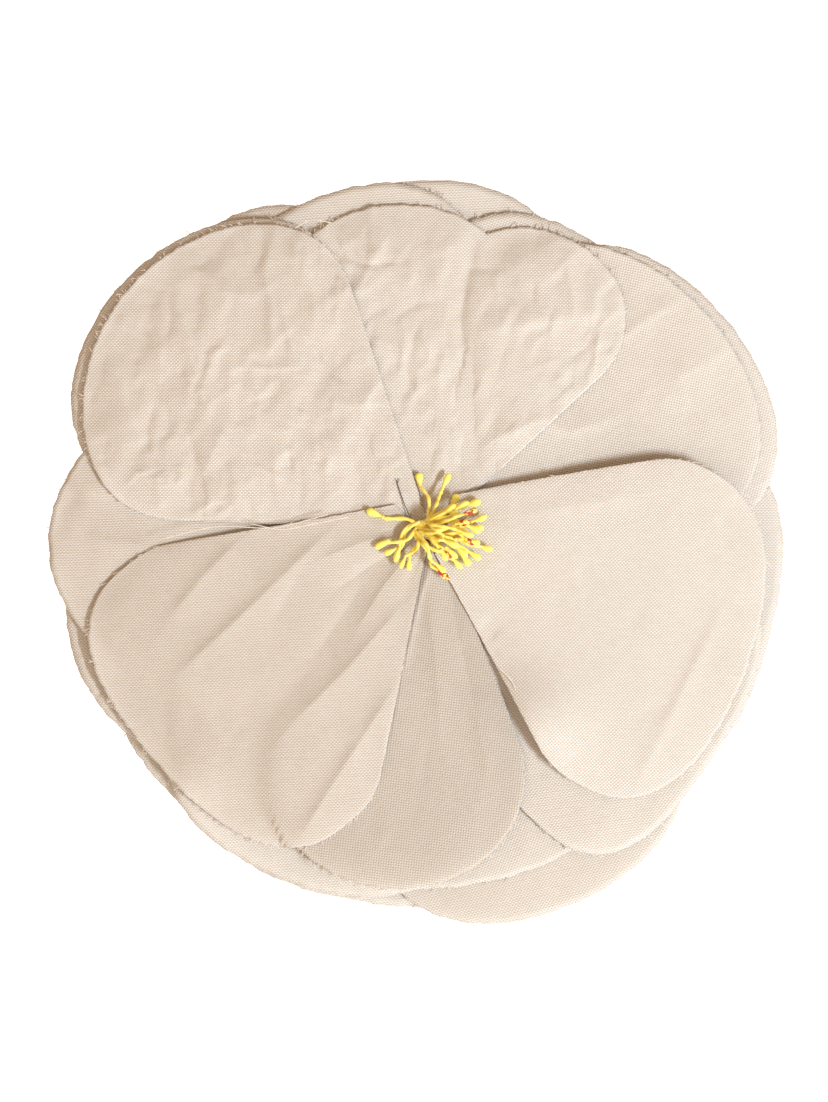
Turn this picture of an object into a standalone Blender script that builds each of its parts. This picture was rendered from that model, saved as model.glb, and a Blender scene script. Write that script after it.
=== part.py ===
"""Layered fabric flower for the hair, on a sprung beak clip.

Lengths in the tables and constants are millimetres and angles are degrees. The objects are in metres.
+Z is up as the flower is worn, the flower looks towards -Y, and the hair is gripped at the origin,
between the felt cover of the fixed jaw and the hinged jaw behind it.
"""
import math

import bmesh
import bpy
from mathutils import Matrix, Vector

MM = 0.001
FIT_GAP = 0.3                  # between pieces that touch in use

# The stack, counted from the grip line towards the front (-Y).
GRIP_GAP = 0.4                 # hair between the cover and the hinged jaw
COVER_THICKNESS = 1.0
JAW_THICKNESS = 0.7
FELT_THICKNESS = 1.6
FELT_RADIUS = 24.0
GATHER_WIRE = 0.6              # diameter of the drawn-up thread behind the petals
PETAL_THICKNESS = 0.5
PETAL_GAP = 0.4                # between petal levels where they are drawn together
LEVEL_PITCH_CENTRE = PETAL_THICKNESS + PETAL_GAP
LEVEL_PITCH_RIM = 1.7          # from one level to the next at the rim, where they stand apart
LEVEL_COUNT = 7
FLOWER_RADIUS = 90.0

# The flower's middle.
FLOWER_X = 0.0
FLOWER_Z = 0.0
PETAL_BASE_HALF = 2.6          # half width of a gathered petal base
BINDING_WALL = 0.45
THREAD_RADIUS = 0.3
THREAD_GAP = 0.12              # between neighbours in the inner ring of the bundle
RING_GAP = 0.4                 # between the two rings
HEAD_RADIUS = 1.0
HEAD_LENGTH = 3.2

# The clip, along X, with its hinge towards +X.
CLIP_TIP_X = -28.0
HINGE_X = 15.0
HINGE_Y = 1.6
TAIL_X = 30.0
JAW_HALF_WIDTH = 4.6           # fixed jaw at the hinge, to the middle of its sheet
JAW_TIP_HALF_WIDTH = 2.8
EAR_GAP = 0.5                  # between the ears of the two jaws
TOP_HALF_WIDTH = JAW_HALF_WIDTH - JAW_THICKNESS - EAR_GAP
TOP_TIP_HALF_WIDTH = 2.4
THUMB_TAB_Y = 9.5
EAR_HALF_LENGTH = 2.2
PIN_RADIUS = 0.8
PIN_CLEARANCE = 0.2
PIN_HEAD_RADIUS = PIN_RADIUS + 0.6
PIN_HEAD_THICKNESS = 0.5
SPRING_WIRE_RADIUS = 0.3
SPRING_PLAY = 0.35             # between the pin and the coil
SPRING_RADIUS = PIN_RADIUS + SPRING_PLAY + SPRING_WIRE_RADIUS
TOP_RISE_Y = HINGE_Y + SPRING_RADIUS + SPRING_WIRE_RADIUS + 0.5 + JAW_THICKNESS / 2
SPRING_TURNS = 4
SPRING_HALF_LENGTH = TOP_HALF_WIDTH - JAW_THICKNESS / 2 - SPRING_WIRE_RADIUS - 0.65

# Faces of the stack, from those values. The front is the -Y side.
COVER_MIDDLE_Y = -(GRIP_GAP + COVER_THICKNESS) / 2
JAW_MIDDLE_Y = COVER_MIDDLE_Y - COVER_THICKNESS / 2 - FIT_GAP - JAW_THICKNESS / 2
FELT_BACK_Y = JAW_MIDDLE_Y - JAW_THICKNESS / 2 - FIT_GAP
FELT_FRONT_Y = FELT_BACK_Y - FELT_THICKNESS
GATHER_Y = FELT_FRONT_Y - FIT_GAP - GATHER_WIRE / 2
PETAL_BACK_Y = GATHER_Y - GATHER_WIRE / 2 - FIT_GAP - PETAL_THICKNESS / 2
PETAL_FRONT_Y = PETAL_BACK_Y - (LEVEL_COUNT - 1) * LEVEL_PITCH_CENTRE - PETAL_THICKNESS / 2
BINDING_BACK_Y = GATHER_Y + GATHER_WIRE / 2
BINDING_FRONT_Y = PETAL_FRONT_Y - 0.8

# One row for each petal: name, level (0 at the back), direction from the middle, length, width,
# length of the rounded end, sideways lean of the tip, squareness of the end (1 is an ellipse).
PETALS = [
    ("petal_front_right", 6, -22, 82.5, 82, 26, -5.5, 0.86),
    ("petal_front_lower_left", 6, -139, 87, 82, 25, -2.0, 0.79),
    ("petal_front_upper_left", 5, 143, 94, 79, 30, 0.5, 1.05),
    ("petal_front_bottom", 5, -97, 87, 61, 27, -2.0, 0.98),
    ("petal_front_top", 4, 83, 80, 82, 25, 1.5, 0.93),
    ("petal_second_left", 4, -176, 93, 72, 38, -1.5, 1.05),
    ("petal_second_lower_right", 4, -34, 87, 80, 27, -9.5, 0.75),
    ("petal_second_upper_right", 3, 39, 85, 79, 28, -4.0, 0.97),
    ("petal_second_lower_left", 3, -113, 92, 78, 29, -2.5, 0.88),
    ("petal_third_upper_left", 3, 140, 96, 78, 29, 5.0, 1.00),
    ("petal_third_top", 2, 116, 85, 79, 29, -3.0, 0.85),
    ("petal_third_upper_right", 2, 36, 88, 80, 29, -4.5, 0.93),
    ("petal_second_bottom", 2, -79, 86, 76, 24, -4.5, 0.87),
    ("petal_third_left", 2, -155, 92, 76, 34, -4.5, 1.03),
    ("petal_third_lower_right", 1, -69, 97, 79, 29, -2.5, 0.93),
    ("petal_back_upper_left", 1, 137, 91, 78, 30, -2.0, 0.89),
    ("petal_back_upper_right", 1, 57, 80, 68, 28, 5.0, 0.88),
    ("petal_back_lower_left", 1, -142, 90, 76, 30, 3.0, 0.96),
    ("petal_back_top", 0, 94, 85, 76, 32, -2.0, 0.91),
    ("petal_back_right", 0, -15, 86, 81, 23, -4.5, 0.83),
    ("petal_back_bottom", 0, -102, 92, 76, 25, -3.0, 0.80),
]
# Petals whose base is wider on one side: half widths on the clockwise and on the other side.
WIDE_BASES = {
    "petal_front_right": (5.0, 10.5),
    "petal_front_lower_left": (10.5, 1.5),
    "petal_front_upper_left": (1.5, 2.0),
}
# Petals whose end dips in a soft notch: how deep, how far off the axis, how wide.
NOTCHES = {"petal_front_top": (7.0, -5.8, 11.0)}
PETAL_COLUMNS = 12
PETAL_ROWS = 5

# One row for each folded stamen. It has a low, long head from the bundle's outer ring and a high one
# from its inner ring: direction, reach from the middle and height in front of the petals.
STAMENS = [
    ((163, 16.5, 3.0), (150, 5.0, 6.0)),
    ((197, 14.3, 2.2), (185, 6.0, 5.4)),
    ((207, 12.6, 3.2), (213, 8.0, 6.0)),
    ((221, 11.8, 2.2), (235, 6.5, 6.4)),
    ((230, 12.2, 3.4), (262, 5.5, 6.8)),
    ((240, 11.2, 2.2), (288, 10.6, 5.6)),
    ((287, 13.4, 2.4), (294, 7.6, 7.0)),
    ((308, 11.7, 2.2), (310, 9.1, 5.8)),
    ((318, 12.6, 3.0), (328, 7.4, 8.2)),
    ((329, 13.6, 2.2), (341, 10.7, 6.0)),
    ((342, 15.4, 3.0), (354, 8.0, 8.8)),
    ((2, 12.5, 2.4), (7, 10.2, 6.6)),
    ((14, 13.6, 3.4), (22, 7.8, 8.4)),
    ((29, 13.2, 2.4), (37, 11.1, 6.2)),
    ((54, 10.6, 3.0), (52, 6.6, 6.8)),
    ((73, 14.4, 3.0), (76, 6.2, 8.8)),
    ((103, 14.2, 2.4), (105, 5.4, 6.4)),
]
BUNDLE_START = 144.0           # direction of the first stamen's place in the bundle
INNER_RING = len(STAMENS) * (2 * THREAD_RADIUS + THREAD_GAP) / math.tau
OUTER_RING = INNER_RING + 2 * THREAD_RADIUS + RING_GAP
BUNDLE_RADIUS = OUTER_RING + THREAD_RADIUS + 0.1
PETAL_START = BUNDLE_RADIUS + BINDING_WALL + 2 * FIT_GAP
THREAD_SIDES = 1               # bevel resolution of the stamens' threads


def material(name, rgb, roughness, metallic=0.0):
    """One Principled material."""
    made = bpy.data.materials.new(name)
    made.use_nodes = True
    shader = made.node_tree.nodes["Principled BSDF"]
    shader.inputs["Base Color"].default_value = (*rgb, 1.0)
    shader.inputs["Roughness"].default_value = roughness
    shader.inputs["Metallic"].default_value = metallic
    return made


def add_object(name, data, collection, paint=None):
    """Put new data into the scene as a named object with its material."""
    made = bpy.data.objects.new(name, data)
    collection.objects.link(made)
    if paint is not None:
        data.materials.append(paint)
    return made


def point(x, y, z):
    """A place given in millimetres, as metres."""
    return Vector((x * MM, y * MM, z * MM))


def solidify(target, thickness):
    """Give an open sheet its thickness, half to each side."""
    modifier = target.modifiers.new("thickness", "SOLIDIFY")
    modifier.thickness = thickness * MM
    modifier.offset = 0.0
    modifier.use_even_offset = True


def cut(target, cutter):
    """Take a cutter's shape out of a piece."""
    modifier = target.modifiers.new("cut", "BOOLEAN")
    modifier.operation = "DIFFERENCE"
    modifier.object = cutter
    modifier.solver = "EXACT"


def cylinder_mesh(name, radius, length, axis, centre, segments=48):
    """A capped cylinder along axis, around centre."""
    mesh = bpy.data.meshes.new(name)
    shape = bmesh.new()
    bmesh.ops.create_cone(shape, cap_ends=True, segments=segments, radius1=radius * MM,
                          radius2=radius * MM, depth=length * MM)
    turn = Vector((0, 0, 1)).rotation_difference(Vector(axis)).to_matrix().to_4x4()
    bmesh.ops.transform(shape, matrix=Matrix.Translation(point(*centre)) @ turn, verts=shape.verts)
    shape.to_mesh(mesh)
    shape.free()
    return mesh


def wire(name, points, radius, collection, paint, radii=None, resolution=2):
    """A round wire or thread through points, with closed ends."""
    curve = bpy.data.curves.new(name, "CURVE")
    curve.dimensions = "3D"
    curve.bevel_depth = radius * MM
    curve.bevel_resolution = resolution
    curve.use_fill_caps = True
    line = curve.splines.new("POLY")
    line.points.add(len(points) - 1)
    for index, place in enumerate(points):
        line.points[index].co = (*point(*place), 1.0)
        if radii is not None:
            line.points[index].radius = radii[index]
    return add_object(name, curve, collection, paint)


# Petals

def petal_height(level, radius):
    """How far in front of the rearmost petals' base a level lies, at a distance from the middle."""
    spread = LEVEL_PITCH_RIM - LEVEL_PITCH_CENTRE
    return level * (LEVEL_PITCH_CENTRE + spread * (radius / FLOWER_RADIUS) ** 2)


def petal_end(length, width, round_length, squareness, notch, turn):
    """A point of the rounded end, along and across the petal. turn runs from -1 to 1."""
    centre = length - round_length
    reach = math.acos(-min(0.95, round_length / centre))
    angle = turn * reach
    along = centre + round_length * math.copysign(abs(math.cos(angle)) ** squareness, math.cos(angle))
    across = width / 2 * math.copysign(abs(math.sin(angle)) ** squareness, math.sin(angle))
    if notch:
        depth, place, spread = notch
        along -= depth * math.exp(-abs(across - place) / spread)
    return along, across


def make_petal(row, collection, paint):
    """A teardrop of cloth: straight lines fan out from the gathered base to the rounded end."""
    name, level, direction, length, width, round_length, lean, squareness = row
    base = WIDE_BASES.get(name, (PETAL_BASE_HALF, PETAL_BASE_HALF))
    turned = math.radians(direction)
    mesh = bpy.data.meshes.new(name)
    shape = bmesh.new()
    grid = []
    for column in range(PETAL_COLUMNS + 1):
        side = 2 * column / PETAL_COLUMNS - 1
        end_along, end_across = petal_end(length, width, round_length, squareness, NOTCHES.get(name), side)
        base_across = side * (base[1] if side > 0 else base[0])
        line = []
        for row_index in range(PETAL_ROWS + 1):
            share = row_index / PETAL_ROWS
            along = PETAL_START + (end_along - PETAL_START) * share
            across = base_across + (end_across - base_across) * share + lean * (along / length) ** 2
            x = along * math.cos(turned) - across * math.sin(turned)
            z = along * math.sin(turned) + across * math.cos(turned)
            y = PETAL_BACK_Y - petal_height(level, math.hypot(x, z))
            line.append(shape.verts.new(point(FLOWER_X + x, y, FLOWER_Z + z)))
        grid.append(line)
    for left, right in zip(grid, grid[1:]):
        for index in range(PETAL_ROWS):
            shape.faces.new((left[index], left[index + 1], right[index + 1], right[index]))
    bmesh.ops.recalc_face_normals(shape, faces=shape.faces)
    shape.to_mesh(mesh)
    shape.free()
    petal = add_object(name, mesh, collection, paint)
    solidify(petal, PETAL_THICKNESS)
    return petal


# Stamens

def strand(ring_radius, slot_angle, head):
    """One half of a folded stamen, from the bundle to its head, with the width at each point."""
    direction, reach, height = head
    middle = Vector((FLOWER_X, 0, FLOWER_Z))
    slot = Vector((math.cos(slot_angle), 0, math.sin(slot_angle))) * ring_radius
    way = Vector((math.cos(math.radians(direction)), 0, math.sin(math.radians(direction))))
    foot = middle + slot + Vector((0, BINDING_BACK_Y - 1.2, 0))
    mouth = middle + slot + Vector((0, BINDING_FRONT_Y - 0.4, 0))
    tip = middle + way * reach + Vector((0, PETAL_FRONT_Y - height, 0))
    bend = middle + slot * 1.1 + way * reach * 0.12
    bend.y = mouth.y + (tip.y - mouth.y) * 1.1 - 0.4
    head_start = tip + (bend - tip).normalized() * HEAD_LENGTH
    places = [foot, mouth]
    for share in (0.3, 0.65):
        places.append(mouth.lerp(bend, share).lerp(bend.lerp(head_start, share), share))
    widths = [1.0] * 4
    full = HEAD_RADIUS / THREAD_RADIUS
    for share, width in ((0.0, 1.0), (0.35, 0.72 * full), (0.7, full), (0.92, 0.72 * full), (1.0, 0.25 * full)):
        places.append(head_start.lerp(tip, share))
        widths.append(width)
    return places, widths


def make_stamens(collection, paint):
    """Folded threads with a head at each end, standing in two rings round the bundle."""
    for index, (low_head, high_head) in enumerate(STAMENS):
        slot_angle = math.radians(BUNDLE_START) + math.tau * index / len(STAMENS)
        low, low_widths = strand(OUTER_RING, slot_angle, low_head)
        high, high_widths = strand(INNER_RING, slot_angle, high_head)
        fold = (low[0] + high[0]) / 2 + Vector((0, 0.8, 0))
        places = low[::-1] + [fold] + high
        widths = low_widths[::-1] + [1.0] + high_widths
        wire(f"stamen_{index + 1:02d}", places, THREAD_RADIUS, collection, paint, widths, THREAD_SIDES)


def make_binding(collection, paint):
    """The thread wound round the stamens, as one closed sleeve."""
    inner = BUNDLE_RADIUS
    outer = BUNDLE_RADIUS + BINDING_WALL
    middle = (BINDING_BACK_Y + BINDING_FRONT_Y) / 2
    length = BINDING_BACK_Y - BINDING_FRONT_Y
    mesh = bpy.data.meshes.new("stamen_binding")
    shape = bmesh.new()
    corners = [(outer, -length / 2), (outer, length / 2), (inner, length / 2), (inner, -length / 2)]
    ring = [shape.verts.new(point(radius, 0, height)) for radius, height in corners]
    edges = [shape.edges.new((ring[index], ring[(index + 1) % 4])) for index in range(4)]
    bmesh.ops.spin(shape, geom=ring + edges, cent=(0, 0, 0), axis=(0, 0, 1), angle=math.tau, steps=32)
    bmesh.ops.remove_doubles(shape, verts=shape.verts, dist=0.00001)
    bmesh.ops.recalc_face_normals(shape, faces=shape.faces)
    turn = Matrix.Rotation(math.radians(90), 4, "X")
    place = Matrix.Translation(point(FLOWER_X, middle, FLOWER_Z)) @ turn
    bmesh.ops.transform(shape, matrix=place, verts=shape.verts)
    shape.to_mesh(mesh)
    shape.free()
    return add_object("stamen_binding", mesh, collection, paint)


def make_gathering_thread(collection, paint):
    """The drawn-up running stitch behind the petals: a ring round the bundle, tied at one side."""
    radius = BUNDLE_RADIUS + BINDING_WALL + FIT_GAP + GATHER_WIRE / 2
    bpy.ops.mesh.primitive_torus_add(
        major_radius=radius * MM, minor_radius=GATHER_WIRE / 2 * MM, major_segments=32, minor_segments=8,
        location=point(FLOWER_X, GATHER_Y, FLOWER_Z), rotation=(math.radians(90), 0, 0))
    ring = bpy.context.object
    ring.name = "gathering_thread"
    ring.data.materials.append(paint)
    for owner in ring.users_collection:
        owner.objects.unlink(ring)
    collection.objects.link(ring)
    return ring


def make_sewing_thread(collection, paint):
    """A loose end of the sewing thread, lying over the upper left petal beside the stamens."""
    places = [(-8.4, 1.0, 11.4), (-8.0, 1.1, 10.2), (-7.2, 1.3, 7.8), (-6.3, 1.5, 5.4), (-5.2, 1.6, 3.6)]
    front = [(FLOWER_X + x, PETAL_FRONT_Y - up, FLOWER_Z + z) for x, up, z in places]
    return wire("sewing_thread", front, 0.15, collection, paint)


# Backing and clip

def make_felt_disc(collection, paint):
    """The round felt that carries the petals at the front and the clip behind."""
    middle = (FLOWER_X, (FELT_BACK_Y + FELT_FRONT_Y) / 2, FLOWER_Z)
    mesh = cylinder_mesh("felt_backing", FELT_RADIUS, FELT_THICKNESS, (0, 1, 0), middle)
    return add_object("felt_backing", mesh, collection, paint)


def sheet_from_rows(name, rows, thickness, collection, paint):
    """A sheet through rows of points, with its thickness."""
    mesh = bpy.data.meshes.new(name)
    shape = bmesh.new()
    grid = [[shape.verts.new(point(*place)) for place in row] for row in rows]
    for near, far in zip(grid, grid[1:]):
        for index in range(len(near) - 1):
            shape.faces.new((near[index], near[index + 1], far[index + 1], far[index]))
    bmesh.ops.recalc_face_normals(shape, faces=shape.faces)
    shape.to_mesh(mesh)
    shape.free()
    made = add_object(name, mesh, collection, paint)
    solidify(made, thickness)
    return made


def make_felt_cover(collection, paint):
    """The strip glued over the fixed jaw: raised over the jaw, with a flange down each side."""
    raised = JAW_HALF_WIDTH + 0.4
    flange = raised + COVER_THICKNESS + 0.2
    edge = flange + 3.5
    flange_y = FELT_BACK_Y + FIT_GAP + COVER_THICKNESS / 2
    profile = [(edge, flange_y), (flange, flange_y), (raised, COVER_MIDDLE_Y)]
    profile += [(-z, y) for z, y in reversed(profile)]
    start = CLIP_TIP_X + 8.0
    end = HINGE_X - EAR_HALF_LENGTH - 4.0
    rows = [[(x, y, z) for z, y in profile] for x in (start, end)]
    return sheet_from_rows("felt_clip_cover", rows, COVER_THICKNESS, collection, paint)


def make_jaw(name, stations, ear_y, collection, paint):
    """A folded sheet-metal jaw: a strip through stations, with an ear down each side at the hinge.

    A station is x, the middle of the sheet and the strip's half width there.
    """
    mesh = bpy.data.meshes.new(name)
    shape = bmesh.new()
    rows = []
    for x, y, half in stations:
        rows.append([shape.verts.new(point(x, y, side * half)) for side in (-1, 0, 1)])
    for near, far in zip(rows, rows[1:]):
        for index in range(2):
            shape.faces.new((near[index], near[index + 1], far[index + 1], far[index]))
    at_hinge = [index for index, station in enumerate(stations)
                if abs(station[0] - HINGE_X) <= EAR_HALF_LENGTH + 0.001]
    for side in (0, 2):
        top = [rows[index][side] for index in at_hinge]
        foot = [shape.verts.new((corner.co.x, ear_y * MM, corner.co.z)) for corner in top]
        for index in range(len(top) - 1):
            shape.faces.new((top[index], top[index + 1], foot[index + 1], foot[index]))
    bmesh.ops.recalc_face_normals(shape, faces=shape.faces)
    shape.to_mesh(mesh)
    shape.free()
    jaw = add_object(name, mesh, collection, paint)
    solidify(jaw, JAW_THICKNESS)
    return jaw


def make_clip(collection, cutters, steel, spring_steel):
    """Fixed jaw, hinged jaw, pin and torsion spring."""
    ear_start = HINGE_X - EAR_HALF_LENGTH
    ear_end = HINGE_X + EAR_HALF_LENGTH
    fixed = make_jaw("clip_fixed_jaw", [
        (CLIP_TIP_X, JAW_MIDDLE_Y, JAW_TIP_HALF_WIDTH),
        (ear_start - 3.0, JAW_MIDDLE_Y, JAW_HALF_WIDTH),
        (ear_start, JAW_MIDDLE_Y, JAW_HALF_WIDTH),
        (ear_end, JAW_MIDDLE_Y, JAW_HALF_WIDTH),
        (ear_end + 3.0, JAW_MIDDLE_Y, JAW_HALF_WIDTH),
        (TAIL_X, JAW_MIDDLE_Y, JAW_HALF_WIDTH - 0.8),
    ], HINGE_Y + 2.0, collection, steel)

    grip_y = (GRIP_GAP + JAW_THICKNESS) / 2
    slope = (THUMB_TAB_Y - TOP_RISE_Y) / (TAIL_X - ear_end)
    hinged = make_jaw("clip_hinged_jaw", [
        (CLIP_TIP_X, grip_y, TOP_TIP_HALF_WIDTH),
        (CLIP_TIP_X + 22.0, grip_y, TOP_HALF_WIDTH - 0.4),
        (ear_start - 4.0, TOP_RISE_Y - 1.2, TOP_HALF_WIDTH),
        (ear_start, TOP_RISE_Y, TOP_HALF_WIDTH),
        (ear_end, TOP_RISE_Y, TOP_HALF_WIDTH),
        (TAIL_X, THUMB_TAB_Y, TOP_HALF_WIDTH + 0.8),
    ], HINGE_Y - 1.4, collection, steel)

    hole = cylinder_mesh("pin_hole", PIN_RADIUS + PIN_CLEARANCE, 4 * JAW_HALF_WIDTH, (0, 0, 1),
                         (HINGE_X, HINGE_Y, 0), 24)
    cutter = add_object("pin_hole", hole, cutters)
    cutter.hide_render = True
    cutter.display_type = "WIRE"
    cut(fixed, cutter)
    cut(hinged, cutter)

    ear_face = JAW_HALF_WIDTH + JAW_THICKNESS / 2
    half = ear_face + FIT_GAP + PIN_HEAD_THICKNESS
    neck = ear_face + FIT_GAP
    profile = bpy.data.meshes.new("clip_hinge_pin")
    outline = [(0, half), (PIN_HEAD_RADIUS, half), (PIN_HEAD_RADIUS, neck), (PIN_RADIUS, neck),
               (PIN_RADIUS, -neck), (PIN_HEAD_RADIUS, -neck), (PIN_HEAD_RADIUS, -half), (0, -half)]
    profile.from_pydata([point(radius, 0, z) for radius, z in outline],
                        [(index, index + 1) for index in range(len(outline) - 1)], [])
    pin = add_object("clip_hinge_pin", profile, collection, steel)
    turn = pin.modifiers.new("turn", "SCREW")
    turn.steps = 24
    turn.render_steps = 24
    turn.use_merge_vertices = True
    turn.merge_threshold = 0.00001
    pin.location = point(HINGE_X, HINGE_Y, 0)

    lower_leg_y = JAW_MIDDLE_Y + JAW_THICKNESS / 2 + FIT_GAP + SPRING_WIRE_RADIUS
    leg_x = 10.0
    upper_leg_y = TOP_RISE_Y + slope * (leg_x - EAR_HALF_LENGTH) - JAW_THICKNESS / 2 - 2 * FIT_GAP
    places = [(leg_x, lower_leg_y - HINGE_Y, -SPRING_HALF_LENGTH)]
    steps = 12 * SPRING_TURNS + 6
    for step in range(steps + 1):
        angle = -math.pi / 2 - math.tau * step / 12
        along = -SPRING_HALF_LENGTH + 2 * SPRING_HALF_LENGTH * step / steps
        places.append((SPRING_RADIUS * math.cos(angle), SPRING_RADIUS * math.sin(angle), along))
    places.append((EAR_HALF_LENGTH + 0.8, SPRING_RADIUS + 0.15, SPRING_HALF_LENGTH))
    places.append((leg_x, upper_leg_y - HINGE_Y - SPRING_WIRE_RADIUS, SPRING_HALF_LENGTH))
    spring = wire("clip_spring", places, SPRING_WIRE_RADIUS, collection, spring_steel)
    spring.location = point(HINGE_X, HINGE_Y, 0)

    hinge = bpy.data.objects.new("hinge_axis", None)
    hinge.location = point(HINGE_X, HINGE_Y, 0)
    collection.objects.link(hinge)
    hinged.parent = hinge
    hinged.matrix_parent_inverse = Matrix.Translation(-hinge.location)


def main():
    for old in list(bpy.data.objects):
        bpy.data.objects.remove(old, do_unlink=True)
    parts = bpy.data.collections.new("fabric_flower_hair_clip")
    cutters = bpy.data.collections.new("cutters")
    bpy.context.scene.collection.children.link(parts)
    bpy.context.scene.collection.children.link(cutters)

    cloth = material("cotton_cloth", (0.76, 0.63, 0.50), 0.9)
    yellow = material("stamen_yellow", (0.93, 0.72, 0.05), 0.5)
    thread = material("cotton_thread", (0.72, 0.60, 0.46), 0.8)
    dark_thread = material("dark_thread", (0.10, 0.08, 0.07), 0.8)
    felt = material("felt", (0.70, 0.58, 0.46), 0.95)
    steel = material("plated_steel", (0.60, 0.60, 0.62), 0.3, 1.0)
    spring_steel = material("spring_steel", (0.45, 0.45, 0.47), 0.35, 1.0)

    for row in PETALS:
        make_petal(row, parts, cloth)
    make_stamens(parts, yellow)
    make_binding(parts, thread)
    make_gathering_thread(parts, thread)
    make_sewing_thread(parts, dark_thread)
    make_felt_disc(parts, felt)
    make_felt_cover(parts, felt)
    make_clip(parts, cutters, steel, spring_steel)


main()
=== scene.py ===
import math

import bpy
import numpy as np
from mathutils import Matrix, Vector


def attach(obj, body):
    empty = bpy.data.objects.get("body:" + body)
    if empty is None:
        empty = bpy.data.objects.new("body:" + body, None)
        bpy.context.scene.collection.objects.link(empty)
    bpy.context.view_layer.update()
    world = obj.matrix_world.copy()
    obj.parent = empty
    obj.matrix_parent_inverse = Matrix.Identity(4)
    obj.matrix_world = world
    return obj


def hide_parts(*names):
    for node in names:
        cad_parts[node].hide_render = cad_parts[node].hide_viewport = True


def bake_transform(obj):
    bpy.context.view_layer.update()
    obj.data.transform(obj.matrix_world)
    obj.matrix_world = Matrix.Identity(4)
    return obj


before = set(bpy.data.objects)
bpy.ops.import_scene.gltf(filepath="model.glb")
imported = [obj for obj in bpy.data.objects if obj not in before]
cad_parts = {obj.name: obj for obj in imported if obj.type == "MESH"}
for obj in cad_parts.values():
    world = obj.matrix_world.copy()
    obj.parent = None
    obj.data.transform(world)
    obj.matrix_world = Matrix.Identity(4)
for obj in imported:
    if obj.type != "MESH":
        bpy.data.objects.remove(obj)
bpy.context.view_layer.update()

# A layered cotton flower for the hair, with yellow thread stamens, on a felt-backed sprung beak clip.
# Tables and constants are in millimetres and degrees, in the frame of the CAD: the flower looks
# towards -Y and +Z is up. Heights are counted towards the front.

MM = 0.001

# The stack of the CAD, from the grip line towards the front.
GRIP_GAP = 0.4
COVER_THICKNESS = 1.0
JAW_THICKNESS = 0.7
FELT_THICKNESS = 1.6
FELT_RADIUS = 24.0
FIT_GAP = 0.3
GATHER_WIRE = 0.6
PETAL_THICKNESS = 0.5
LEVEL_PITCH_CENTRE = 0.9
LEVEL_PITCH_RIM = 1.7
LEVEL_COUNT = 7
FLOWER_RADIUS = 90.0
PETAL_BASE_HALF = 2.6
THREAD_RADIUS = 0.3
COVER_MIDDLE_Y = -(GRIP_GAP + COVER_THICKNESS) / 2
JAW_MIDDLE_Y = COVER_MIDDLE_Y - COVER_THICKNESS / 2 - FIT_GAP - JAW_THICKNESS / 2
FELT_BACK_Y = JAW_MIDDLE_Y - JAW_THICKNESS / 2 - FIT_GAP
FELT_FRONT_Y = FELT_BACK_Y - FELT_THICKNESS
GATHER_Y = FELT_FRONT_Y - FIT_GAP - GATHER_WIRE / 2
PETAL_BACK_Y = GATHER_Y - GATHER_WIRE / 2 - FIT_GAP - PETAL_THICKNESS / 2
PETAL_FRONT_Y = PETAL_BACK_Y - (LEVEL_COUNT - 1) * LEVEL_PITCH_CENTRE - PETAL_THICKNESS / 2
BINDING_BACK_Y = GATHER_Y + GATHER_WIRE / 2
BINDING_FRONT_Y = PETAL_FRONT_Y - 0.8

CLOTH = 0.34                    # the cotton itself, thinner than its CAD solid
CLOTH_CLEARANCE = CLOTH + 0.12  # from the middle of one cloth to the middle of the next
RIB_PITCH = 0.6                 # from one thread of the weft to the next, where it stands out as ribs
CHECK_PITCH = RIB_PITCH / 0.7   # two threads of the plain weave, a little coarser than real so that it shows

# Noise for the shapes: cells before it repeats, and a start that keeps every place positive.
LATTICE_CELLS = 64
LATTICE_START = 200.5

# Petals as in the CAD: name, level, direction, length, width, length of the rounded end, lean and
# squareness of the end.
PETALS = [
    ("petal_front_right", 6, -22, 82.5, 82, 26, -5.5, 0.86),
    ("petal_front_lower_left", 6, -139, 87, 82, 25, -2.0, 0.79),
    ("petal_front_upper_left", 5, 143, 94, 79, 30, 0.5, 1.05),
    ("petal_front_bottom", 5, -97, 87, 61, 27, -2.0, 0.98),
    ("petal_front_top", 4, 83, 80, 82, 25, 1.5, 0.93),
    ("petal_second_left", 4, -176, 93, 72, 38, -1.5, 1.05),
    ("petal_second_lower_right", 4, -34, 87, 80, 27, -9.5, 0.75),
    ("petal_second_upper_right", 3, 39, 85, 79, 28, -4.0, 0.97),
    ("petal_second_lower_left", 3, -113, 92, 78, 29, -2.5, 0.88),
    ("petal_third_upper_left", 3, 140, 96, 78, 29, 5.0, 1.00),
    ("petal_third_top", 2, 116, 85, 79, 29, -3.0, 0.85),
    ("petal_third_upper_right", 2, 36, 88, 80, 29, -4.5, 0.93),
    ("petal_second_bottom", 2, -79, 86, 76, 24, -4.5, 0.87),
    ("petal_third_left", 2, -155, 92, 76, 34, -4.5, 1.03),
    ("petal_third_lower_right", 1, -69, 97, 79, 29, -2.5, 0.93),
    ("petal_back_upper_left", 1, 137, 91, 78, 30, -2.0, 0.89),
    ("petal_back_upper_right", 1, 57, 80, 68, 28, 5.0, 0.88),
    ("petal_back_lower_left", 1, -142, 90, 76, 30, 3.0, 0.96),
    ("petal_back_top", 0, 94, 85, 76, 32, -2.0, 0.91),
    ("petal_back_right", 0, -15, 86, 81, 23, -4.5, 0.83),
    ("petal_back_bottom", 0, -102, 92, 76, 25, -3.0, 0.80),
]
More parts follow.
